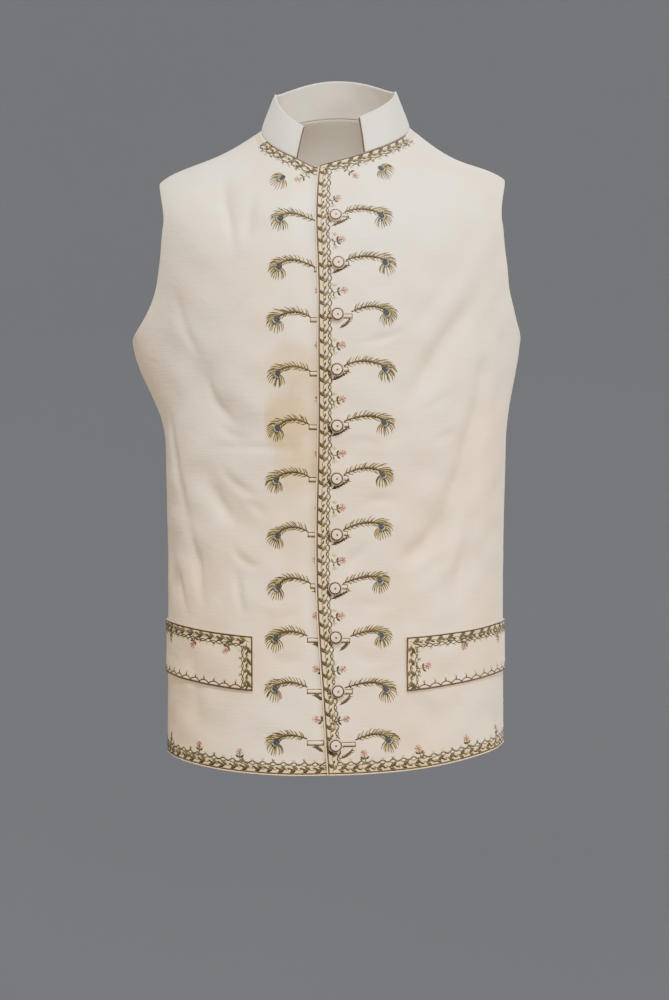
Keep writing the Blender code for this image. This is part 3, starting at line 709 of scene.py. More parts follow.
class Stitches:
    """Stitches on one table, gathered in batches and made one mesh of closed threads."""

    def __init__(self, table):
        self.table = table
        self.batches = []

    def lay(self, places, width, colour, height=0.32):
        """Adds threads through rows of places, with their widths and heights in millimetres."""
        count, steps = places.shape[:2]
        width = np.broadcast_to(width, (count, steps))
        height = np.broadcast_to(height, (count, steps))
        colour = np.broadcast_to(colour, (count, 3))
        self.batches.append((places, width, height, colour))

    def on(self, anchor, drawn, width, colour, height=0.32):
        """Adds threads drawn about an anchor place, in millimetres east and north of it."""
        anchor = np.broadcast_to(anchor, drawn.shape)
        places = self.table.step_off(anchor, drawn[..., 0] * MM, drawn[..., 1] * MM)
        self.lay(places, width, colour, height)

    def along(self, path, drawn, width, colour, height=0.32):
        """Adds threads drawn along a path, in millimetres along it and to its left."""
        self.lay(path.at(drawn), width, colour, height)

    def thread_rings(self, places, width, height):
        """Four points round each place: a side, the crown, the other side and the hidden foot."""
        fields = self.table.read(places)
        point, normal = fields[..., :3], fields[..., 3:6]
        run = np.gradient(point, axis=1)
        side = np.cross(normal, run)
        side /= np.maximum(np.linalg.norm(side, axis=-1, keepdims=True), 1e-9)
        half = side * (0.5 * MM * width)[..., None]
        crown = normal * (MM * height)[..., None]
        lift = 0.12 * crown
        rings = np.stack([point + half + lift, point + crown, point - half + lift, point - 0.3 * crown], axis=2)
        lengths = np.linalg.norm(np.diff(point, axis=1), axis=2)
        return rings, np.concatenate([np.zeros((len(point), 1)), np.cumsum(lengths, axis=1)], axis=1)

    def build(self, name, material):
        """One mesh of all the threads; each is a tube of four sides, closed at both ends."""
        draw = np.random.default_rng(11)
        points, quads, colours, lays = [], [], [], []
        base = 0
        for places, width, height, colour in self.batches:
            rings, along = self.thread_rings(places, width, height)
            count, steps = rings.shape[:2]
            index = base + np.arange(count * steps * 4).reshape(count, steps, 4)
            turned = np.roll(index, -1, axis=2)
            walls = np.stack([index[:, :-1], turned[:, :-1], turned[:, 1:], index[:, 1:]], axis=-1)
            quads += [walls.reshape(-1, 4), index[:, 0, ::-1].reshape(-1, 4), index[:, -1].reshape(-1, 4)]
            points.append(rings.reshape(-1, 3))
            shade = draw.normal(1.0, 0.10, (count, 1)).clip(0.7, 1.35)
            colours.append(np.repeat(colour * shade, steps * 4, axis=0))
            around = np.broadcast_to(np.arange(4) * 0.5, (count, steps, 4))
            lays.append(np.stack([np.repeat(along[..., None], 4, axis=2), around], axis=-1).reshape(-1, 2))
            base += count * steps * 4
        quads = np.concatenate(quads)
        mesh = mesh_of_quads(name, np.concatenate(points), quads)
        add_map(mesh, "lay", np.concatenate(lays), quads)
        layer = mesh.attributes.new("thread", "FLOAT_COLOR", "POINT")
        tint = np.concatenate(colours)
        tint = np.concatenate([tint, np.ones((len(tint), 1))], axis=1)
        layer.data.foreach_set("color", np.ascontiguousarray(tint, np.float32).ravel())
        return add_piece(name, mesh, (material,))


def srgb(red, green, blue):
    """Linear colour of a colour given in eighths of bits as it is seen."""
    seen = np.array([red, green, blue]) / 255.0
    return np.where(seen < 0.04045, seen / 12.92, ((seen + 0.055) / 1.055) ** 2.4)


BROWN = srgb(66, 46, 26)
BAR_BROWN = srgb(66, 40, 22)
TAN = srgb(176, 142, 98)
STEM = srgb(62, 44, 18)
OLIVE = srgb(66, 52, 22)
PALE_OLIVE = srgb(182, 162, 90)
GREEN = srgb(56, 52, 20)
MID_GREEN = srgb(88, 82, 32)
YELLOW = srgb(190, 178, 88)
CREAM = srgb(236, 208, 156)
GREY_BLUE = srgb(58, 58, 50)
DEEP_BLUE = srgb(34, 36, 39)
SLATE = srgb(62, 66, 70)
PALE_BLUE = srgb(168, 168, 158)
INK = srgb(54, 46, 30)
ROSE = srgb(150, 78, 62)
PALE_ROSE = srgb(200, 140, 114)
ROSY_BROWN = srgb(112, 84, 56)


def curve(start, middle, end, steps=7):
    """Quadratic curves from start to end, drawn towards their middles: rows of points."""
    t = np.linspace(0.0, 1.0, steps)[None, :, None]
    start, middle, end = (np.atleast_2d(p)[:, None, :] for p in (start, middle, end))
    return (1.0 - t) ** 2 * start + 2.0 * t * (1.0 - t) * middle + t**2 * end


def leaf_width(width, steps=7):
    """Widths that swell from a point and close to one."""
    t = np.linspace(0.0, 1.0, steps)
    return np.maximum(width * np.sin(math.pi * t) ** 0.6, 0.06)


def barb_width(width, steps=7):
    """Widths that are full at the start and close to a point."""
    t = np.linspace(0.0, 1.0, steps)
    return np.maximum(width * np.sqrt(1.0 - t**3), 0.06)


def turned(direction, degrees):
    """Directions turned anticlockwise."""
    angle = np.radians(degrees)
    c, s = np.cos(angle), np.sin(angle)
    x, y = direction[..., 0], direction[..., 1]
    return np.stack([c * x - s * y, s * x + c * y], axis=-1)


def polar(degrees, radius):
    """Points at these angles and distances."""
    angle = np.radians(degrees)
    return np.stack([radius * np.cos(angle), radius * np.sin(angle)], axis=-1)


# Feathers of each row, top row first: root, crest and eye, in millimetres from the row's button
Feather = namedtuple("Feather", "root_x root_y crest_x crest_y eye_x eye_y")
LEFT_FRONT_FEATHERS = (
    Feather(8.1, 4.4, 25.2, 7.4, 45.7, -2.4),
    Feather(9.5, 2.6, 28.1, 6.6, 49.3, -0.9),
    Feather(15.0, 2.5, 33.8, 8.2, 50.5, 1.1),
    Feather(7.5, 3.5, 27.5, 8.5, 49.2, 0.1),
    Feather(7.5, 4.0, 29.5, 9.5, 48.0, 2.8),
    Feather(7.5, 3.9, 27.5, 10.4, 46.5, 3.9),
    Feather(6.5, 4.3, 26.5, 11.3, 45.0, 7.3),
    Feather(6.6, 4.7, 26.6, 11.2, 43.5, 7.3),
    Feather(13.8, 0.9, 32.4, 6.2, 45.2, 1.3),
    Feather(8.6, 3.4, 33.8, 8.4, 49.8, 0.6),
    Feather(19.0, 4.6, 38.1, 10.1, 52.4, 3.0),
)
RIGHT_FRONT_FEATHERS = (
    Feather(-21.2, -4.7, -40.5, 1.7, -56.7, -4.8),
    Feather(-21.9, -4.0, -41.9, 2.4, -58.0, -5.7),
    Feather(-26.2, -2.5, -41.9, 2.5, -60.0, -6.0),
    Feather(-26.5, -1.5, -42.5, 3.0, -59.5, -4.5),
    Feather(-27.5, 1.0, -43.5, 6.0, -59.7, -3.0),
    Feather(-27.5, 1.4, -43.5, 6.4, -62.0, -2.1),
    Feather(-28.5, 2.3, -44.5, 7.3, -60.5, -2.5),
    Feather(-26.0, 4.7, -44.8, 9.7, -59.7, -0.2),
    Feather(-29.1, 0.9, -46.2, 5.2, -62.0, -2.9),
    Feather(-29.1, 3.8, -46.2, 8.4, -62.0, 1.5),
    Feather(-29.1, 6.6, -47.6, 10.1, -61.0, 2.3),
)


def stem_point(feather, t):
    """Point of the stem: the parabola through root, crest and the upper edge of the eye."""
    side = math.copysign(1.0, feather.eye_x)
    root = np.array([feather.root_x, feather.root_y])
    crest = np.array([feather.crest_x, feather.crest_y])
    end = np.array([feather.eye_x - 2.6 * side, feather.eye_y + 3.4])
    t = np.asarray(t, float)[..., None]
    return root * (1 - t) * (1 - 2 * t) + crest * 4 * t * (1 - t) + end * t * (2 * t - 1)


HANGING = -78.0


def eye_fan(stitches, draw, anchor, eye, side, size=1.0):
    """Head of a feather: barbs that leave the eye's outline and bend down, with the eye on them.

    A barb leaves the eye at one angle, and its tip lies further out at an angle nearer to the one
    that the whole fringe hangs at.
    """
    spread = np.array([side, 1.0])
    for high, low, count, reach, width, colour, height in (
        (62.0, -142.0, 11, 13.0, 1.35, PALE_OLIVE, 0.24),
        (72.0, -156.0, 13, 14.4, 1.45, OLIVE, 0.34),
    ):
        leave = np.linspace(high, low, count) + draw.normal(0.0, 3.0, count)
        fall = leave + 0.42 * (HANGING - leave)
        reach = size * reach * (0.80 + 0.20 * np.cos(np.radians(fall - HANGING)) ** 2) * draw.uniform(0.9, 1.08, count)
        begin = eye + spread * polar(leave, 3.3)
        middle = eye + spread * polar(leave + 0.08 * (HANGING - leave), 0.72 * reach)
        finish = eye + spread * polar(fall, reach)
        stitches.on(anchor, curve(begin, middle, finish), barb_width(width), colour, height)
    along, across = spread * polar(-64.0, 1.0), spread * polar(26.0, 1.0)
    place = np.linspace(-3.7, 3.4, 9)[:, None]
    half = 3.5 * np.sqrt(1.0 - (place / 4.5) ** 2)
    colour = np.where((np.arange(9) % 3 == 1)[:, None], SLATE, DEEP_BLUE)
    begin, finish = eye + place * along - half * across, eye + place * along + half * across
    stitches.on(anchor, curve(begin, 0.5 * (begin + finish), finish), leaf_width(1.3), colour, 0.50)
    for low, high, radius, width, colour in ((-100.0, 0.0, 3.7, 1.2, PALE_BLUE), (-106.0, 14.0, 5.0, 1.3, INK)):
        sweep = np.linspace(low, high, 9)
        stitches.on(anchor, (eye + spread * polar(sweep, radius))[None], leaf_width(width, 9), colour, 0.62)


def lay_feather(stitches, draw, anchor, feather):
    """One feather: its arched stem, barbs above and below it, and the fringe round the eye."""
    side = math.copysign(1.0, feather.eye_x)
    spread = np.array([side, 1.0])
    eye = np.array([feather.eye_x, feather.eye_y])
    for turn, count, low, high, length, width, colour, shift in (
        (48.0, 8, 0.08, 0.86, 6.4, 1.25, PALE_OLIVE, 0.9),
        (-46.0, 8, 0.12, 0.90, 5.2, 1.20, PALE_OLIVE, 0.8),
        (50.0, 9, 0.05, 0.80, 7.4, 1.50, OLIVE, 0.0),
        (-48.0, 9, 0.08, 0.94, 6.4, 1.40, OLIVE, 0.0),
    ):
        u = np.linspace(low, high, count) + draw.normal(0.0, 0.012, count)
        base = stem_point(feather, u)
        tangent = stem_point(feather, u + 0.01) - stem_point(feather, u - 0.01)
        tangent /= np.linalg.norm(tangent, axis=1, keepdims=True)
        late = np.clip((u - 0.5) / 0.4, 0.0, 1.0) * (turn > 0.0)
        angle = side * turn * (1.0 - 0.35 * late) + draw.normal(0.0, 3.5, count)
        reach = length * (1.0 + 0.35 * late) * draw.uniform(0.86, 1.12, count)
        begin = base + shift * tangent
        middle = begin + 0.55 * reach[:, None] * turned(tangent, 1.16 * angle)
        finish = begin + reach[:, None] * turned(tangent, 0.86 * angle)
        stitches.on(anchor, curve(begin, middle, finish), barb_width(width), colour, 0.30)
    eye_fan(stitches, draw, anchor, eye, side)
    for t, rise, reach in ((0.80, 9.2, 4.0), (0.90, 6.6, 8.4), (0.97, 2.6, 11.0)):
        begin = stem_point(feather, t)
        finish = eye + spread * np.array([reach, rise]) + draw.normal(0.0, 0.5, 2)
        middle = 0.5 * (begin + finish) + spread * np.array([0.9, 2.1])
        stitches.on(anchor, curve(begin, middle, finish), barb_width(1.5), OLIVE, 0.40)
        lower = np.array([0.4 * side, -1.1])
        stitches.on(anchor, curve(begin, middle + lower, finish + 1.4 * lower), barb_width(1.1), PALE_OLIVE, 0.30)
    t = np.linspace(0.0, 1.0, 19)
    width = 1.9 + 1.5 * np.sin(math.pi * t**1.6)
    stitches.on(anchor, stem_point(feather, t)[None], width, STEM, 0.52)


def lay_bars(stitches, anchor, near_x, far_x, top_y, drop, width):
    """Worked buttonhole: two bars of brown silk on a cream ground, closed at the far end."""
    x = np.linspace(near_x, far_x, 9)
    ground = np.stack([x, np.full(9, top_y - 0.5 * drop)], axis=1)
    stitches.on(anchor, ground[None], drop, CREAM, 0.18)
    for y in (top_y, top_y - drop):
        stitches.on(anchor, np.stack([x, np.full(9, y)], axis=1)[None], width, BAR_BROWN, 0.55)
    for end_x in (near_x, far_x):
        ends = np.stack([np.full(5, end_x), np.linspace(top_y + 0.3, top_y - drop - 0.3, 5)], axis=1)
        stitches.on(anchor, ends[None], width, BAR_BROWN, 0.55)


def lay_barbed_sprig(stitches, anchor, start, end, bow, width):
    """Short dark sprig with barbs on both sides, bowed to one side by a share of its length."""
    start, end = np.array(start), np.array(end)
    run = end - start
    bend = turned(run, 90.0) * bow
    stitches.on(anchor, curve(start, 0.5 * (start + end) + bend, end), leaf_width(width), INK, 0.46)
    share = np.linspace(0.10, 0.84, 6)[:, None]
    heading = -run / np.linalg.norm(run)
    for turn in (32.0, -32.0):
        base = start + run * share + 2.0 * share * (1.0 - share) * bend
        tip = base + 1.35 * width * turned(heading, turn)
        stitches.on(anchor, curve(base, 0.5 * (base + tip), tip), barb_width(1.3), OLIVE, 0.34)


def lay_flower(stitches, draw, anchor, centre, radius=4.0):
    """Small flower: a red knot with short dashes set round it."""
    centre = np.array(centre)
    count = 11
    angles = np.linspace(0.0, 327.0, count) + draw.normal(0.0, 6.0, count)
    begin = centre + polar(angles, 0.30 * radius)
    finish = centre + polar(angles, 1.05 * radius)
    colour = np.where(draw.uniform(size=(count, 1)) < 0.55, PALE_ROSE, ROSE)
    stitches.on(anchor, curve(begin, 0.5 * (begin + finish), finish, 5), leaf_width(1.35, 5), colour, 0.34)
    for turn in (0.0, 60.0, 120.0):
        across = polar(turn, 0.36 * radius)
        stitches.on(anchor, curve(centre - across, centre, centre + across, 5), leaf_width(1.2, 5), ROSE, 0.46)


def lay_leaves(stitches, anchor, base, heading, turns, length, width, colour):
    """Leaves from one base, turned to both sides of a heading."""
    base = np.array(base)
    turns = np.asarray(turns, float)
    start = np.broadcast_to(base, (len(turns), 2))
    end = base + polar(heading + turns, length)
    middle = base + polar(heading + 1.35 * turns, 0.55 * length)
    stitches.on(anchor, curve(start, middle, end), leaf_width(width), colour, 0.42)


def lay_sprig(stitches, draw, anchor, base, flower):
    """Sprig: a stem from its base to a flower, dark leaves at the fork and pale tips beside it."""
    base, flower = np.array(base), np.array(flower)
    run = flower - base
    heading = math.degrees(math.atan2(run[1], run[0]))
    reach = np.hypot(*run)
    fork = base + 0.36 * run
    stitches.on(anchor, curve(base, fork, flower - 0.25 * run / reach), 1.2, OLIVE, 0.34)
    lay_leaves(stitches, anchor, fork, heading, (52.0, -60.0), 5.4, 2.7, GREEN)
    lay_leaves(stitches, anchor, base + 0.04 * run, heading, (104.0, -98.0), 4.8, 2.4, MID_GREEN)
    lay_flower(stitches, draw, anchor, flower)


def lay_tips(stitches, anchor, base, heading, length=4.2):
    """Three pale yellow-green shoots from one base."""
    lay_leaves(stitches, anchor, base, heading, (-34.0, 0.0, 34.0), length, 1.5, YELLOW)


def lay_line(stitches, path, aside, width, colour, height=0.45, start=0.0, end=None):
    """Couched line along a path; aside may be a number or a function of the distance along."""
    end = path.length if end is None else end
    s = np.arange(start, end, 0.7)
    d = aside(s) if callable(aside) else np.full(len(s), float(aside))
    stitches.along(path, np.stack([s, d], axis=1)[None], width, colour, height)


def lay_vine(stitches, draw, path, aside, pitch, start, end, spread=1.0):
    """Leafy vine on a path: a waving stem, and at each pitch two large leaves, a twig and a bud.

    With a spread under 1, the leaves are longer and lie nearer to the path.
    """
    def stem(s):
        return aside + 0.7 * np.sin(2.0 * math.pi * s / pitch)

    lay_line(stitches, path, stem, 0.9, ROSY_BROWN, 0.36, start, end)
    s = np.arange(start + 0.3 * pitch, end - 0.35 * pitch, pitch)
    s = s + draw.normal(0.0, 0.5, len(s))
    for begin, lead, out, colour, width in (
        (0.0, 5.8, 3.6, GREEN, 3.2),
        (-1.8, 5.4, -3.6, MID_GREEN, 3.2),
        (-0.4, 5.8, 0.8, OLIVE, 2.3),
        (4.8, 4.2, -2.0, GREEN, 2.4),
    ):
        base = np.stack([s + begin, np.full(len(s), aside)], axis=1)
        tip = base + np.array([lead / spread, out * spread]) * draw.uniform(0.84, 1.16, (len(s), 1))
        middle = 0.5 * (base + tip) + np.array([-0.16 * lead, 0.22 * out * spread])
        stitches.along(path, curve(base, middle, tip), leaf_width(width), colour, 0.46)
    bud = np.stack([s + 0.66 * pitch, np.full(len(s), aside + 0.5)], axis=1)
    stitches.along(path, curve(bud, bud + [0.9, 0.3], bud + [2.3, 0.0], 5), leaf_width(1.5, 5), ROSE, 0.40)


def front_table(left):
    """Table of a front's outer face, 2 mm apart."""
    stations = np.linspace(0.0, TOP_STATION, 335)
    arcs = np.arange(-0.030, 0.262, 0.002) if left else np.arange(-0.272, 0.016, 0.002)
    grid = np.tile(arcs, (len(stations), 1))
    points = front_skin(stations, grid)[0] if left else right_front_skin(stations, grid)
    return ClothTable(arcs, stations, points)


def row_anchors(table):
    """Place beside each button that the embroidery is measured from, all on one upright line."""
    return np.array([place_of(table, ROW_X, height) for height in BUTTON_HEIGHTS])


def centre_path(table):
    """The left front's centre edge, from the hem up."""
    station = np.linspace(0.0, TOP_STATION, 900)
    return Path(table, np.stack([edge_arc(LEFT_EDGE, station), station], axis=1))


def neck_path(table, start_arc, end_arc):
    """Along the neckline, from one arc to another."""
    arcs = np.linspace(start_arc, end_arc, 300)
    return Path(table, np.stack([arcs, np.full(300, TOP_STATION)], axis=1))


def hem_path(table, start_arc, end_arc):
    """Along the hem, from one arc to another."""
    arcs = np.linspace(start_arc, end_arc, 500)
    return Path(table, np.stack([arcs, np.zeros(500)], axis=1))


HEM_WAVE, WELT_SCALLOP = 10.8, 12.4
LEFT_WELT_FLOWERS = ((66.0, 9.6, (-4.6, -6.2)), (10.5, 33.0, (9.4, 2.4)), (118.0, 9.8, (-1.0, -7.0)))
RIGHT_WELT_FLOWERS = ((24.0, 9.8, (-3.6, -7.4)), (66.0, 9.8, (-2.4, -7.0)), (112.0, 9.8, (1.0, -7.0)))
SPRIG_DROP = (24.5, 28.0, 30.5, 29.5, 28.0, 29.0, 26.0, 27.5, 32.0, 28.0)
SPRIG_OUT = (4.5, 8.1, 6.0, 6.0, 6.5, 6.0, 6.0, 5.2, 6.6, 9.6)
BAR_REACH = (11.5, 12.0, 15.9, 11.5, 12.0, 11.5, 11.0, 10.9, 13.1, 15.9, 19.1)


def embroider_left_front(table, thread):
    """All of the left front's embroidery, as separate pieces."""
    draw = np.random.default_rng(21)
    anchors = row_anchors(table)
    feathers = Stitches(table)
    bars = Stitches(table)
    for anchor, feather, reach in zip(anchors, LEFT_FRONT_FEATHERS, BAR_REACH):
        lay_feather(feathers, draw, anchor, feather)
        low_row = reach > 13.0
        lay_bars(bars, anchor, -8.8, reach, feather.root_y - (2.0 if low_row else 1.2), 4.4, 1.15)
        if low_row:
            lay_barbed_sprig(bars, anchor, (0.86 * reach, -4.6), (2.4, -14.0), 0.16, 2.8)
        else:
            lay_barbed_sprig(bars, anchor, (13.2, -1.6), (-6.6, -11.4), 0.05, 2.7)
            # A dark curved stroke round the lower left of the button, between it and the vine.
            bars.on(anchor, curve((-8.6, -1.0), (-8.2, -5.4), (-4.4, -8.6)), leaf_width(1.8), INK, 0.46)
    eye_anchor = place_of(table, 0.0466, -0.0484)
    fan = Stitches(table)
    eye_fan(fan, draw, eye_anchor, np.zeros(2), 1.0, 1.06)

    path = centre_path(table)
    vine = Stitches(table)
    lay_line(vine, path, -0.7, 1.3, CREAM, 0.50, 0.8)
    lay_line(vine, path, -2.2, 2.1, BROWN, 0.50, 0.8)
    lay_vine(vine, draw, path, -6.9, 12.9, 3.0, path.length - 8.0)
    top = path.length - 9.0
    wave = 2.0 * math.pi / 12.9
    lay_line(vine, path, lambda s: -13.2 + 1.7 * np.sin(wave * s), 1.7, GREY_BLUE, 0.40, 12.0, top)
    lay_line(vine, path, lambda s: -12.6 - 1.5 * np.sin(wave * s), 1.5, ROSY_BROWN, 0.40, 12.0, top)

    sprigs = Stitches(table)
    for anchor, drop, out in zip(anchors, SPRIG_DROP, SPRIG_OUT):
        lay_sprig(sprigs, draw, anchor, (-2.8, -drop - 2.5), (out, -drop))
        lay_tips(sprigs, anchor, (-2.8, -drop - 6.0), -70.0, 4.6)
        lay_tips(sprigs, anchor, (-2.6, -drop + 3.5), 75.0, 4.2)
    lay_sprig(sprigs, draw, anchors[0], (-4.6, 18.5), (1.8, 22.2))
    lay_tips(sprigs, anchors[0], (-4.2, 14.0), -70.0)

    neck = Stitches(table)
    path = neck_path(table, edge_arc(LEFT_EDGE, np.array([TOP_STATION]))[0], neck_end(69.0))
    lay_neck_border(neck, draw, path, -1.0)
    lay_sprig(neck, draw, place_of(table, 0.0115, -0.0500), (0.0, 0.0), (7.6, -8.4))
    hem = Stitches(table)
    side = arc_at_angle(np.array([0.0]), SIDE_SEAM)[0]
    path = hem_path(table, edge_arc(LEFT_EDGE, np.array([0.0]))[0], side - 0.001)
    lay_hem_border(hem, draw, path, 1.0, (39.0, 96.0, 152.0, 200.0), 10.5)
    return [
        feathers.build("feathers_left_front", thread),
        fan.build("neck_feather_left_front", thread),
        bars.build("buttonholes_left_front", thread),
        vine.build("edge_vine_left_front", thread),
        sprigs.build("sprigs_left_front", thread),
        neck.build("neck_border_left_front", thread),
        hem.build("hem_border_left_front", thread),
    ]


def neck_end(degrees):
    """Arc on the neckline at which its embroidery ends, at the collar's side."""
    return arc_at_angle(np.array([TOP_STATION]), degrees)[0]


def place_of(table, x, z):
    """Place on a front whose point has this x and z, found in a few steps from the flat guess."""
    place = np.array([x, station_at_height(z)])
    for _ in range(5):
        fields = table.read(place)
        place = table.step_off(place, x - fields[0], z - fields[2])
    return place


def lay_shoots(stitches, draw, path, places, aside, side, colours, leans=(-1.6, 0.2, 2.0)):
    """Short shoots in small bunches, from a line at this distance from the path."""
    for i, s in enumerate(places):
        base = np.array([[s, side * aside]])
        for lean in leans:
            tip = base + [lean, side * draw.uniform(2.4, 4.4)]
            colour = colours[i % len(colours)]
            stitches.along(path, curve(base, 0.5 * (base + tip), tip), barb_width(1.25), colour, 0.34)


def lay_neck_border(stitches, draw, path, side):
    """Neckline: brown edge line, leafy vine, two wavy lines, and shoots below them."""
    lay_line(stitches, path, side * 1.0, 1.9, BROWN, 0.50)
    lay_vine(stitches, draw, path, side * 5.4, 11.2, 3.0, path.length - 1.0, 0.8)
    wave = 2.0 * math.pi / 11.6
    lay_line(stitches, path, lambda s: side * (9.4 + 1.2 * np.sin(wave * s)), 1.6, GREY_BLUE, 0.42, 5.0)
    lay_line(stitches, path, lambda s: side * (9.9 - 1.1 * np.sin(wave * s)), 1.2, OLIVE, 0.38, 9.0)
    lay_shoots(stitches, draw, path, np.arange(16.0, path.length - 4.0, 7.5), 10.6, side, (YELLOW, MID_GREEN))


def lay_hem_border(stitches, draw, path, side, flowers, start):
    """Hem: two edge lines, leafy vine, two wavy lines with shoots, and flower sprigs."""
    lay_line(stitches, path, side * 0.8, 1.2, CREAM, 0.45)
    lay_line(stitches, path, side * 2.2, 2.2, BROWN, 0.50)
    lay_vine(stitches, draw, path, side * 6.6, 12.6, start, path.length - 2.0, 0.8)
    wave = 2.0 * math.pi / HEM_WAVE
    lay_line(stitches, path, lambda s: side * (12.2 + 1.3 * np.sin(wave * s)), 1.8, GREY_BLUE, 0.42, start)
    lay_line(stitches, path, lambda s: side * (10.9 - 0.9 * np.sin(wave * s)), 1.4, ROSY_BROWN, 0.40, start)
    peaks = (np.arange(math.ceil(start / HEM_WAVE), path.length / HEM_WAVE - 0.6) + 0.25) * HEM_WAVE
    lay_shoots(stitches, draw, path, peaks, 13.4, side, (YELLOW, YELLOW, MID_GREEN), (-1.4, 0.2, 1.8))
    for s in flowers:
        place = path.at(np.array([s, side * 13.0]))
        lay_sprig(stitches, draw, place, (0.6, -0.6), (-0.8, 8.2))


def embroider_right_front(table, thread):
    """All of the right front's embroidery that shows, as separate pieces."""
    draw = np.random.default_rng(22)
    anchors = row_anchors(table)
    feathers = Stitches(table)
    bars = Stitches(table)
    for i, (anchor, feather) in enumerate(zip(anchors, RIGHT_FRONT_FEATHERS)):
        lay_feather(feathers, draw, anchor, feather)
        if i > 0:
            near, lower = (-13.0, 2.0) if i > 7 else (-15.0, 0.6)
            lay_bars(bars, anchor, near, feather.root_x - 0.2, feather.root_y - lower, 4.5, 1.15)
        if i > 6:
            start, end = (-22.4, feather.root_y - 7.8), (-12.8, feather.root_y - 14.0)
            lay_barbed_sprig(bars, anchor, start, end, 0.16, 2.8)
    eye_anchor = place_of(table, -0.0542, -0.0586)
    fan = Stitches(table)
    eye_fan(fan, draw, eye_anchor, np.zeros(2), -1.0, 1.06)
    sprigs = Stitches(table)
    for i, (anchor, drop) in enumerate(zip(anchors, SPRIG_DROP)):
        out = -18.5 if i < 6 else -20.8
        lay_sprig(sprigs, draw, anchor, (-11.5, -drop - 2.5), (out, -drop))
        lay_tips(sprigs, anchor, (-12.0, -drop - 6.0), -110.0, 4.0)
    neck = Stitches(table)
    start = edge_arc(LEFT_EDGE, np.array([TOP_STATION]))[0]
    path = neck_path(table, start + 0.004, neck_end(-66.0))
    lay_neck_border(neck, draw, path, 1.0)
    lay_sprig(neck, draw, place_of(table, -0.0290, -0.0560), (0.0, 0.0), (-7.2, -8.0))
    hem = Stitches(table)
    side = arc_at_angle(np.array([0.0]), -SIDE_SEAM)[0]
    path = hem_path(table, 0.004, side + 0.001)
    lay_hem_border(hem, draw, path, -1.0, (103.0, 152.0, 205.0), 1.0)
    return [
        feathers.build("feathers_right_front", thread),
        fan.build("neck_feather_right_front", thread),
        bars.build("buttonholes_right_front", thread),
        sprigs.build("sprigs_right_front", thread),
        neck.build("neck_border_right_front", thread),
        hem.build("hem_border_right_front", thread),
    ]


def embroider_welt(name, left, flowers, thread):
    """Border round a welt: vine on the top and the inner end, scallops along the bottom.

    A flower sprig starts at its distances along and below the top edge, and has the flower's own
    place east and north of there.
    """
    draw = np.random.default_rng(23 if left else 24)
    low, high = welt_span(left)
    bottom, top = station_at_height(WELT_BOTTOM), station_at_height(WELT_TOP)
    arcs = np.linspace(low, high, 90)
    stations = np.linspace(bottom, top, 34)
    table = ClothTable(arcs, stations, welt_surface(stations, np.tile(arcs, (34, 1)), left))
    inner, outer = (low, high) if left else (high, low)
    side = 1.0 if left else -1.0

    def line(start, end):
        share = np.linspace(0.0, 1.0, 240)[:, None]
        return Path(table, np.array(start) * (1.0 - share) + np.array(end) * share)

    work = Stitches(table)
    top_path = line((inner, top), (outer, top))
    end_path = line((inner, top), (inner, bottom))
    bottom_path = line((inner, bottom), (outer, bottom))
    for path, inward in ((top_path, -side), (end_path, side), (bottom_path, side)):
        lay_line(work, path, inward * 0.9, 2.1, BROWN, 0.5)
    lay_vine(work, draw, top_path, -side * 5.2, 12.6, 3.0, top_path.length - 2.0, 0.75)
    lay_vine(work, draw, end_path, side * 5.6, 11.6, 7.0, end_path.length - 3.0, 0.8)
    wave = 2.0 * math.pi / 13.2
    lay_line(work, top_path, lambda s: -side * (9.4 + 1.6 * np.sin(wave * s)), 1.6, GREY_BLUE, 0.42, 9.0)
    lay_line(work, top_path, lambda s: -side * (9.8 - 1.3 * np.sin(wave * s)), 1.3, OLIVE, 0.4, 9.0)
    low_end = end_path.length - 3.0
    lay_line(work, end_path, lambda s: side * (10.4 + 1.2 * np.sin(wave * s)), 1.3, GREY_BLUE, 0.42, 9.0, low_end)
    lay_line(work, end_path, lambda s: side * (10.8 - 1.1 * np.sin(wave * s)), 1.1, OLIVE, 0.42, 9.0, low_end)
    bow = math.pi / WELT_SCALLOP
    lay_line(work, bottom_path, lambda s: side * (1.8 + 3.0 * np.abs(np.sin(bow * s)) ** 0.7), 1.6, STEM, 0.42, 1.5)
    peaks = np.arange(1.5, bottom_path.length / WELT_SCALLOP - 0.3) * WELT_SCALLOP
    lay_shoots(work, draw, bottom_path, peaks, 4.8, side, (GREEN,), (-0.4, 1.6))
    lay_shoots(work, draw, bottom_path, peaks, 7.0, side, (YELLOW,), (-1.2, 0.4))
    lay_shoots(work, draw, top_path, np.arange(16.0, 156.0, 8.6), 10.4, -side, (YELLOW, MID_GREEN), (-1.3, 1.3))
    lay_shoots(work, draw, end_path, np.arange(14.0, 46.0, 8.2), 11.6, side, (YELLOW, MID_GREEN), (-1.2, 1.2))
    for along, below, flower in flowers:
        lay_sprig(work, draw, top_path.at(np.array([along, -side * below])), (0.0, 0.0), flower)
    return work.build(name, thread)


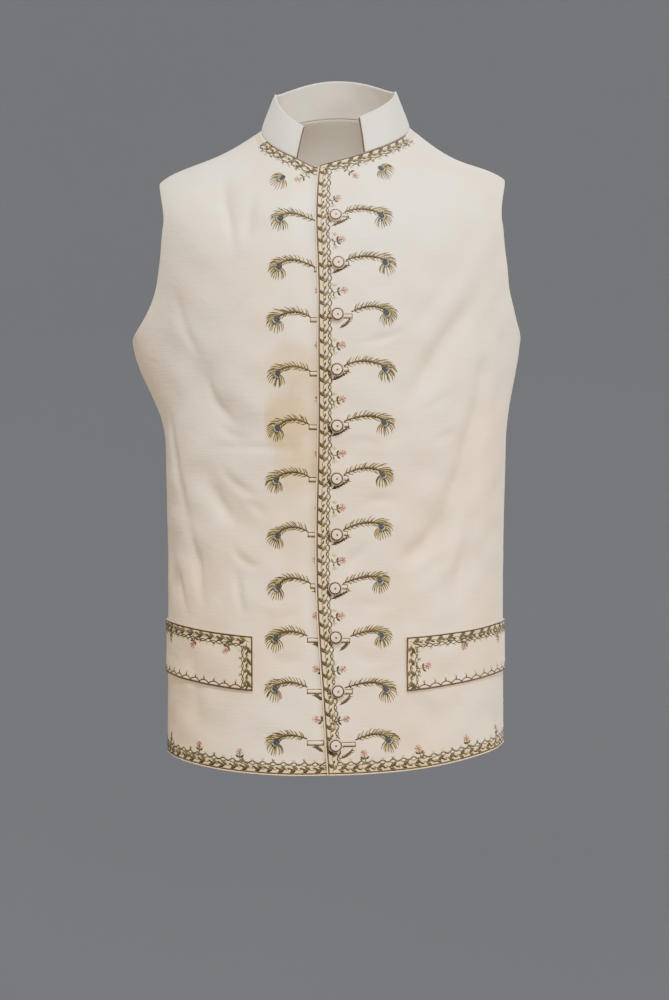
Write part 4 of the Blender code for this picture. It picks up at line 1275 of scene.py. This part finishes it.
def stitch_collar(thread):
    """Small prick stitches along the collar's front ends and top, and a dark line down each front end that is painted
    shadow of the gap there.
    """
    low, high = collar_ends()
    along = np.linspace(low, high, 260)
    share = np.linspace(0.0, 1.0, 24)
    points, _ = collar_surface(along, share)
    table = ClothTable(along, share * COLLAR_RISE, points)
    work = Stitches(table)
    for inner, sign in ((low, 1.0), (high, -1.0)):
        end = Path(table, np.stack([np.full(60, inner), np.linspace(0.0, COLLAR_RISE, 60)], axis=1))
        # The dark brown line down each front end is painted shadow: the gap at the collar's ends, in shade.
        lay_line(work, end, -sign * 0.9, 2.2, BROWN, 0.36)
        s = np.arange(3.0, end.length - 2.0, 3.2)
        start = np.stack([s, np.full(len(s), -sign * 3.0)], axis=1)
        work.along(end, curve(start, start + [0.2, -sign * 0.6], start + [0.3, -sign * 1.2], 5), leaf_width(0.9, 5), TAN, 0.24)
    top = Path(table, np.stack([np.linspace(low, high, 500), np.full(500, COLLAR_RISE)], axis=1))
    s = np.arange(4.0, top.length - 4.0, 3.6)
    start = np.stack([s, np.full(len(s), -2.4)], axis=1)
    work.along(top, curve(start, start + [0.5, 0.0], start + [1.0, 0.1], 5), leaf_width(0.5, 5), TAN, 0.18)
    return work.build("collar_stitches_and_end_shadow", thread)


# ---------------------------------------------------------------------------------------------
# Buttons
# ---------------------------------------------------------------------------------------------

BUTTON_PROFILE = (
    (0.0000, 0.00335), (0.0012, 0.00334), (0.0026, 0.00330), (0.0040, 0.00318), (0.0052, 0.00297),
    (0.0060, 0.00270), (0.0066, 0.00232), (0.00695, 0.00180), (0.0070, 0.00130), (0.0068, 0.00075),
    (0.0062, 0.00025), (0.0050, 0.00004), (0.0026, 0.00000), (0.0000, 0.00000),
)


KNOT_PROFILE = ((0.0, 0.0041), (0.0006, 0.0040), (0.0011, 0.0037), (0.0013, 0.0033), (0.0007, 0.0031), (0.0, 0.0031))


def turned_solid(profile, sides):
    """Points and quads of a profile turned about its own axis, narrowed to a tiny open ring at each end."""
    profile = np.array(profile)
    profile[[0, -1], 0] = 0.00002
    angle = np.arange(sides) * 2.0 * math.pi / sides
    ring_x = profile[:, 0:1] * np.cos(angle)
    ring_y = profile[:, 0:1] * np.sin(angle)
    points = np.stack([ring_x, ring_y, np.broadcast_to(profile[:, 1:2], ring_x.shape)], axis=-1)
    index = np.arange(len(profile) * sides).reshape(len(profile), sides)
    after = np.roll(index, -1, axis=1)
    walls = np.stack([index[1:], after[1:], after[:-1], index[:-1]], axis=-1).reshape(-1, 4)
    return points.reshape(-1, 3), walls


def make_buttons(table, cover, thread):
    """Covered buttons: a padded disc of cloth with an embroidered ring and a knot at its middle."""
    pieces = []
    for i, place in enumerate(zip(BUTTON_ARCS, station_at_height(BUTTON_HEIGHTS))):
        fields = table.read(np.array(place))
        centre, outward = fields[:3], fields[3:6]
        east = np.cross(np.array([0.0, 0.0, 1.0]), outward)
        east /= np.linalg.norm(east)
        north = np.cross(outward, east)
        frame_of_button = np.stack([east, north, outward])
        points, quads = turned_solid(BUTTON_PROFILE, 48)
        name = f"button_{i + 1:02d}"
        placed = centre + outward * BUTTON_GAP + points @ frame_of_button
        mesh = mesh_of_quads(name + "_cover", placed, quads)
        add_map(mesh, "cut", points[:, :2], quads)
        mesh_poles_closed(mesh)
        piece = add_piece(name + "_cover", mesh, (cover,))
        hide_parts(name)
        ring_piece = make_button_work(name + "_ring", centre + outward * BUTTON_GAP, frame_of_button, thread, i)
        pieces += [piece, ring_piece]
    return pieces


def mesh_poles_closed(mesh):
    """Closes the two small holes at a turned solid's poles."""
    bm = bmesh.new()
    bm.from_mesh(mesh)
    bmesh.ops.holes_fill(bm, edges=bm.edges, sides=64)
    bmesh.ops.recalc_face_normals(bm, faces=bm.faces)
    bm.to_mesh(mesh)
    bm.free()
    mesh.shade_smooth()


def make_button_work(name, origin, axes, thread, seed):
    """Work on a button: a ring of couched thread and a knot, and a thin tan ring at the rim that is painted shadow
    under the button's lip; all closed tubes.
    """
    draw = np.random.default_rng(40 + seed)
    angle = np.linspace(0.0, 2.0 * math.pi, 73)
    profile = np.array(BUTTON_PROFILE)[:10]
    batches = []
    for radius, width, height, colour in (
        (0.00552, 0.00170, 0.00032, srgb(62, 44, 30)),
        # The outer tan ring at the rim is painted shadow: the dark outline that the button's lip and its contact
        # shadow make.
        (0.00680, 0.00060, 0.00026, srgb(146, 114, 80)),
    ):
        section = np.radians(np.arange(6) * 60.0)
        r = radius + 0.5 * width * np.cos(section)
        z = np.interp(r, profile[:, 0], profile[:, 1]) + height * (np.sin(section) + 0.15)
        points = np.stack([np.outer(np.cos(angle[:-1]), r), np.outer(np.sin(angle[:-1]), r), np.tile(z, (72, 1))], axis=-1)
        batches.append((points, colour))
    quads, points, colours, base = [], [], [], 0
    for ring_points, colour in batches:
        index = base + np.arange(72 * 6).reshape(72, 6)
        after = np.roll(index, -1, axis=0)
        quads.append(np.stack([index, after, np.roll(after, -1, axis=1), np.roll(index, -1, axis=1)], axis=-1).reshape(-1, 4))
        points.append(ring_points.reshape(-1, 3))
        colours.append(np.tile(colour, (72 * 6, 1)))
        base += 72 * 6
    knot, knot_quads = turned_solid(KNOT_PROFILE, 16)
    knot = knot + np.array([0.0004, -0.0002, 0.0])
    quads.append(knot_quads + base)
    points.append(knot)
    colours.append(np.tile(srgb(104, 66, 52), (len(knot), 1)))
    points = np.concatenate(points)
    quads = np.concatenate(quads)
    mesh = mesh_of_quads(name, origin + points @ axes, quads)
    add_map(mesh, "lay", points[:, :2], quads)
    layer = mesh.attributes.new("thread", "FLOAT_COLOR", "POINT")
    tint = np.concatenate([np.concatenate(colours), np.ones((len(points), 1))], axis=1)
    layer.data.foreach_set("color", np.ascontiguousarray(tint, np.float32).ravel())
    mesh_poles_closed(mesh)
    return add_piece(name, mesh, (thread,))


# ---------------------------------------------------------------------------------------------
# Finishes
# ---------------------------------------------------------------------------------------------


class Value:
    """Output of a node. Its operators add Math nodes to the same material."""

    def __init__(self, finish, socket):
        self.finish = finish
        self.socket = socket

    def math(self, operation, first, second=0.0):
        return self.finish.node("ShaderNodeMath", {"operation": operation}, {0: first, 1: second})

    def __add__(self, other):
        return self.math("ADD", self, other)

    __radd__ = __add__

    def __sub__(self, other):
        return self.math("SUBTRACT", self, other)

    def __rsub__(self, other):
        return self.math("SUBTRACT", other, self)

    def __mul__(self, other):
        return self.math("MULTIPLY", self, other)

    __rmul__ = __mul__

    def __truediv__(self, other):
        return self.math("DIVIDE", self, other)

    def __rtruediv__(self, other):
        return self.math("DIVIDE", other, self)

    def __pow__(self, other):
        return self.math("POWER", self, other)


class Finish:
    """Material on one Principled shader, with its nodes added by expressions."""

    def __init__(self, name, **constants):
        self.material = bpy.data.materials.new(name)
        self.material.use_nodes = True
        self.tree = self.material.node_tree
        self.shader = self.tree.nodes["Principled BSDF"]
        for label, value in constants.items():
            self.shader.inputs[label.replace("_", " ")].default_value = value

    def node(self, kind, settings=None, inputs=None, output=0):
        """Any node: its settings first, a ramp's stops among them, then its sockets' values and links."""
        made = self.tree.nodes.new(kind)
        settings = dict(settings or {})
        for place, colour in settings.pop("stops", ()):
            stop = made.color_ramp.elements.new(place)
            stop.color = (*colour, 1.0)
        for label, value in settings.items():
            setattr(made, label, value)
        for label, value in (inputs or {}).items():
            if isinstance(value, Value):
                self.tree.links.new(value.socket, made.inputs[label])
            else:
                made.inputs[label].default_value = value
        return Value(self, made.outputs[output])

    def feed(self, label, value):
        """Links a value to the shader."""
        self.tree.links.new(value.socket, self.shader.inputs[label])

    def mix(self, factor, first, second):
        """Colour between two colours, each a Value or three numbers."""
        first, second = (c if isinstance(c, Value) else (*c, 1.0) for c in (first, second))
        return self.node("ShaderNodeMix", {"data_type": "RGBA"}, {0: factor, 6: first, 7: second}, 2)

    def shade(self, colour, amount):
        """Colour times a grey amount."""
        return self.node("ShaderNodeVectorMath", {"operation": "SCALE"}, {0: colour, 3: amount})

    def step(self, value, low, high):
        """Smooth step from 0 at low to 1 at high."""
        return self.node(
            "ShaderNodeMapRange", {"interpolation_type": "SMOOTHSTEP"}, {0: value, 1: low, 2: high}
        )

    def place(self, scale=(1.0, 1.0, 1.0)):
        """Object coordinates, stretched."""
        where = self.node("ShaderNodeTexCoord", output=3)
        return self.node("ShaderNodeMapping", inputs={"Vector": where, "Scale": scale})

    def drawn(self, name, scale):
        """A UV map of the piece, stretched."""
        where = self.node("ShaderNodeUVMap", {"uv_map": name})
        return self.node("ShaderNodeMapping", inputs={"Vector": where, "Scale": scale})

    def noise(self, where, scale=1.0, detail=3.0, roughness=0.5, distortion=0.0):
        """Noise from 0 to 1."""
        return self.node(
            "ShaderNodeTexNoise",
            inputs={"Vector": where, "Scale": scale, "Detail": detail, "Roughness": roughness, "Distortion": distortion},
        )

    def bump(self, height, distance, strength=1.0, under=None):
        """Bump of a height in metres times distance."""
        inputs = {"Height": height, "Distance": distance, "Strength": strength}
        if under is not None:
            inputs["Normal"] = under
        return self.node("ShaderNodeBump", inputs=inputs)

    def part(self, vector, axis):
        """One number of a vector."""
        return self.node("ShaderNodeSeparateXYZ", inputs={0: vector}, output=axis)


def weave(finish, uv, pitch):
    """Height of a plain weave from 0 to 1: fine uneven threads along both ways of the cloth."""
    warp = finish.noise(finish.drawn(uv, (1.0 / pitch, 0.06 / pitch, 1.0)), 1.0, 2.0, 0.6)
    weft = finish.noise(finish.drawn(uv, (0.06 / pitch, 1.0 / pitch, 1.0)), 1.0, 2.0, 0.6)
    return warp * 0.5 + weft * 0.5


def band(finish, distance, start, end, soft=0.0008):
    """One between start and end, nothing outside, with soft sides."""
    return finish.step(distance, start - soft, start + soft) * (1.0 - finish.step(distance, end - soft, end + soft))


def silk(name, marked):
    """Ivory silk: soft sheen, fine weave, faint warm and grey patches, painted shade that warms and darkens it towards
    the hem, tinted borders and a tan stain.
    """
    finish = Finish(name, Roughness=0.55, Sheen_Weight=0.30, Sheen_Roughness=0.45, Specular_IOR_Level=0.35)
    patches = finish.noise(finish.place((9.0, 9.0, 6.0)), 1.0, 4.0, 0.55, 0.4)
    faint = finish.noise(finish.place((26.0, 26.0, 20.0)), 1.0, 3.0, 0.5)
    threads = weave(finish, "cut", 0.0011)
    height = finish.part(finish.place(), 2)
    # Painted shade and real tone: the silk turns warmer and darker towards the hem, painted for the light that falls
    # off lower down, and also in random warm patches of its own.
    painted_low_shade_and_patches = (1.0 - finish.step(height, -0.42, -0.04)) * 0.55 + finish.step(patches, 0.38, 0.66) * 0.45
    colour = finish.mix(painted_low_shade_and_patches, srgb(242, 227, 200), srgb(239, 204, 156))
    colour = finish.mix(finish.step(faint, 0.50, 0.75) * 0.30, colour, srgb(222, 202, 172))
    if marked:
        margins = finish.node("ShaderNodeAttribute", {"attribute_name": "margins"}, output=1)
        centre, hem, neck = (finish.part(margins, axis) for axis in range(3))
        borders = band(finish, centre, 0.0026, 0.0112) + band(finish, hem, 0.0026, 0.0098)
        borders = borders + band(finish, neck, 0.0024, 0.0084)
        colour = finish.mix(finish.step(borders, 0.2, 0.9) * 0.85, colour, srgb(226, 194, 134))
        drawn = finish.node("ShaderNodeUVMap", {"uv_map": "cut"})
        arc, station = finish.part(drawn, 0), finish.part(drawn, 1)
        blotch = finish.noise(finish.place((38.0, 38.0, 24.0)), 1.0, 5.0, 0.6, 0.8)
        crisp = finish.step(arc, *STAIN_EDGE)
        for at_arc, at_station, wide, tall, strength in STAINS:
            far = ((arc - at_arc) / wide) ** 2 + ((station - at_station) / tall) ** 2
            mark = (1.0 - finish.step(far + (blotch - 0.5) * 1.6, 0.1, 1.5)) * strength
            colour = finish.mix(mark * crisp, colour, srgb(204, 160, 94))
    colour = finish.shade(colour, threads * 0.10 + 0.95)
    finish.feed("Base Color", colour)
    finish.feed("Roughness", 0.46 + threads * 0.16 + patches * 0.06)
    rumple = finish.noise(finish.place((46.0, 46.0, 70.0)), 1.0, 4.0, 0.55, 0.6)
    slub = finish.noise(finish.drawn("cut", (30.0, 520.0, 1.0)), 1.0, 2.0, 0.5)
    soft = finish.bump(slub, 0.00030, 0.7, finish.bump(rumple, 0.0011, 0.6))
    finish.feed("Normal", finish.bump(threads, 0.00016, 0.6, soft))
    return finish.material


STAIN_EDGE = (-0.0735, -0.0700)  # the stain stops short at a line where the silk was once folded
STAINS = (
    (-0.041, 0.4105, 0.024, 0.026, 0.50),
    (-0.050, 0.3480, 0.026, 0.034, 0.70),
    (-0.038, 0.3020, 0.026, 0.032, 0.60),
    (-0.030, 0.3560, 0.018, 0.060, 0.45),
    (-0.036, 0.2200, 0.020, 0.040, 0.20),
)


def plain_cloth(name, light, dark, pitch, roughness, sheen, depth):
    """Plain woven cloth in one colour: its weave, slubs and faint patches."""
    finish = Finish(name, Roughness=roughness, Sheen_Weight=sheen, Sheen_Roughness=0.5, Specular_IOR_Level=0.3)
    patches = finish.noise(finish.place((11.0, 11.0, 8.0)), 1.0, 4.0, 0.55, 0.3)
    threads = weave(finish, "cut", pitch)
    colour = finish.mix(finish.step(patches, 0.35, 0.70) * 0.7, light, dark)
    finish.feed("Base Color", finish.shade(colour, threads * 0.16 + 0.92))
    finish.feed("Roughness", roughness - 0.06 + threads * 0.14)
    finish.feed("Normal", finish.bump(threads, depth, 0.7))
    return finish.material


THREAD_TWIST = 0.00032


def thread_finish():
    """Embroidery silk: each thread its own colour, glossy along it, with its fine twist, whose crests are painted
    lighter and grooves darker as painted shade.
    """
    finish = Finish("embroidery_silk", Roughness=0.42, Sheen_Weight=0.20, Specular_IOR_Level=0.45)
    colour = finish.node("ShaderNodeAttribute", {"attribute_name": "thread"})
    lay = finish.node("ShaderNodeUVMap", {"uv_map": "lay"})
    twist = finish.part(lay, 0) * (2.0 * math.pi / THREAD_TWIST) + finish.part(lay, 1) * math.pi
    ridges = finish.node("ShaderNodeMath", {"operation": "SINE"}, {0: twist}) * 0.5 + 0.5
    # Painted shade: the colour is lighter on the crests of the twist and darker in its grooves.
    finish.feed("Base Color", finish.shade(colour, ridges * 0.22 + 0.89))
    finish.feed("Roughness", 0.38 + ridges * 0.12)
    finish.feed("Normal", finish.bump(ridges, 0.00008, 0.6))
    return finish.material


def stage_finish():
    """Plain matt grey of the floor and its raised sides."""
    finish = Finish("plain_stage", Roughness=0.9, Specular_IOR_Level=0.1)
    cloud = finish.noise(finish.place((0.4, 0.4, 0.4)), 1.0, 2.0)
    finish.feed("Base Color", finish.mix(cloud, srgb(132, 135, 141), srgb(138, 141, 147)))
    return finish.material


# ---------------------------------------------------------------------------------------------
# Stage, light and camera
# ---------------------------------------------------------------------------------------------


def make_stage(material):
    """Round floor whose rim curves up into a low wall: a profile turned about the upright axis."""
    floor_z, flat, bend, wall = -1.90, 5.4, 2.2, 3.8
    turn = np.radians(np.linspace(0.0, 90.0, 15))
    radius = np.concatenate([[0.01, 1.5, 3.2], flat + bend * np.sin(turn), [flat + bend]])
    level = np.concatenate([[0.0, 0.0, 0.0], bend * (1.0 - np.cos(turn)), [bend + wall]]) + floor_z
    angle = np.linspace(0.0, 2.0 * math.pi, 97)[:-1]
    points = np.stack(
        [np.outer(radius, np.cos(angle)), np.outer(radius, np.sin(angle)), np.repeat(level[:, None], 96, axis=1)], axis=-1
    )
    index = np.arange(len(radius) * 96).reshape(len(radius), 96)
    after = np.roll(index, -1, axis=1)
    quads = np.stack([index[:-1], index[1:], after[1:], after[:-1]], axis=-1).reshape(-1, 4)
    mesh = mesh_of_quads("stage", points.reshape(-1, 3), quads)
    mesh.materials.append(material)
    stage = bpy.data.objects.new("stage", mesh)
    bpy.context.scene.collection.objects.link(stage)


def add_light(name, place, target, size, power, colour):
    """Square soft light that faces a target."""
    data = bpy.data.lights.new(name, "AREA")
    data.shape = "SQUARE"
    data.size = size
    data.energy = power
    data.color = colour
    lamp = bpy.data.objects.new(name, data)
    bpy.context.scene.collection.objects.link(lamp)
    away = np.array(place) - np.array(target)
    lamp.location = place
    pitch = math.atan2(math.hypot(away[0], away[1]), away[2])
    lamp.rotation_euler = (pitch, 0.0, math.atan2(away[1], away[0]) + 0.5 * math.pi)


def light_scene():
    """Soft studio light from above and in front on both sides, and a dim even surround."""
    add_light("key", (0.7, -2.9, 3.3), (0.0, 0.0, -0.32), 1.0, 372.0, (1.0, 0.965, 0.905))
    add_light("right", (3.4, -2.4, 0.7), (0.0, 0.0, -0.32), 1.6, 176.0, (1.0, 0.965, 0.91))
    add_light("left", (-3.4, -2.9, 0.9), (0.0, 0.0, -0.30), 1.8, 100.0, (1.0, 0.94, 0.87))
    add_light("back", (0.6, 3.8, 2.4), (0.0, 0.0, -0.30), 2.4, 120.0, (1.0, 0.97, 0.93))
    world = bpy.data.worlds.new("surround")
    world.use_nodes = True
    world.node_tree.nodes["Background"].inputs["Color"].default_value = (0.66, 0.645, 0.63, 1.0)
    world.node_tree.nodes["Background"].inputs["Strength"].default_value = 0.75
    bpy.context.scene.world = world


def add_camera():
    """Camera level with the waistcoat's middle, three metres in front of it."""
    data = bpy.data.cameras.new("camera")
    data.sensor_fit = "AUTO"
    data.sensor_width = 36.0
    data.lens = 108.0
    camera = bpy.data.objects.new("camera", data)
    bpy.context.scene.collection.objects.link(camera)
    camera.location = (-0.001, -3.118, -0.385)
    camera.rotation_euler = (0.5 * math.pi, 0.0, 0.0)
    bpy.context.scene.camera = camera


def main():
    front_silk = silk("ivory_silk_front", True)
    welt_silk = front_silk
    lining = plain_cloth("plain_lining", srgb(226, 216, 198), srgb(214, 200, 178), 0.0008, 0.7, 0.15, 0.0001)
    linen = plain_cloth("back_linen", srgb(222, 210, 188), srgb(208, 194, 168), 0.0013, 0.82, 0.10, 0.0003)
    collar_silk = plain_cloth("collar_silk", srgb(224, 214, 198), srgb(212, 200, 180), 0.0009, 0.52, 0.30, 0.0002)
    cover = plain_cloth("button_silk", srgb(242, 212, 174), srgb(232, 198, 156), 0.0008, 0.48, 0.30, 0.0001)
    thread = thread_finish()

    front_left = make_front("front_left", True, front_silk, lining)
    front_right = make_front("front_right", False, front_silk, lining)
    back = make_back(linen, lining)
    collar = make_collar(collar_silk, collar_silk)
    welt_left = make_welt("welt_left", True, welt_silk, lining)
    welt_right = make_welt("welt_right", False, welt_silk, lining)

    left_table, right_table = front_table(True), front_table(False)
    left_work = embroider_left_front(left_table, thread)
    right_work = embroider_right_front(right_table, thread)
    welt_work = [
        embroider_welt("welt_border_left", True, LEFT_WELT_FLOWERS, thread),
        embroider_welt("welt_border_right", False, RIGHT_WELT_FLOWERS, thread),
    ]
    collar_work = stitch_collar(thread)
    buttons = make_buttons(left_table, cover, thread)

    make_stage(stage_finish())
    light_scene()
    add_camera()


main()
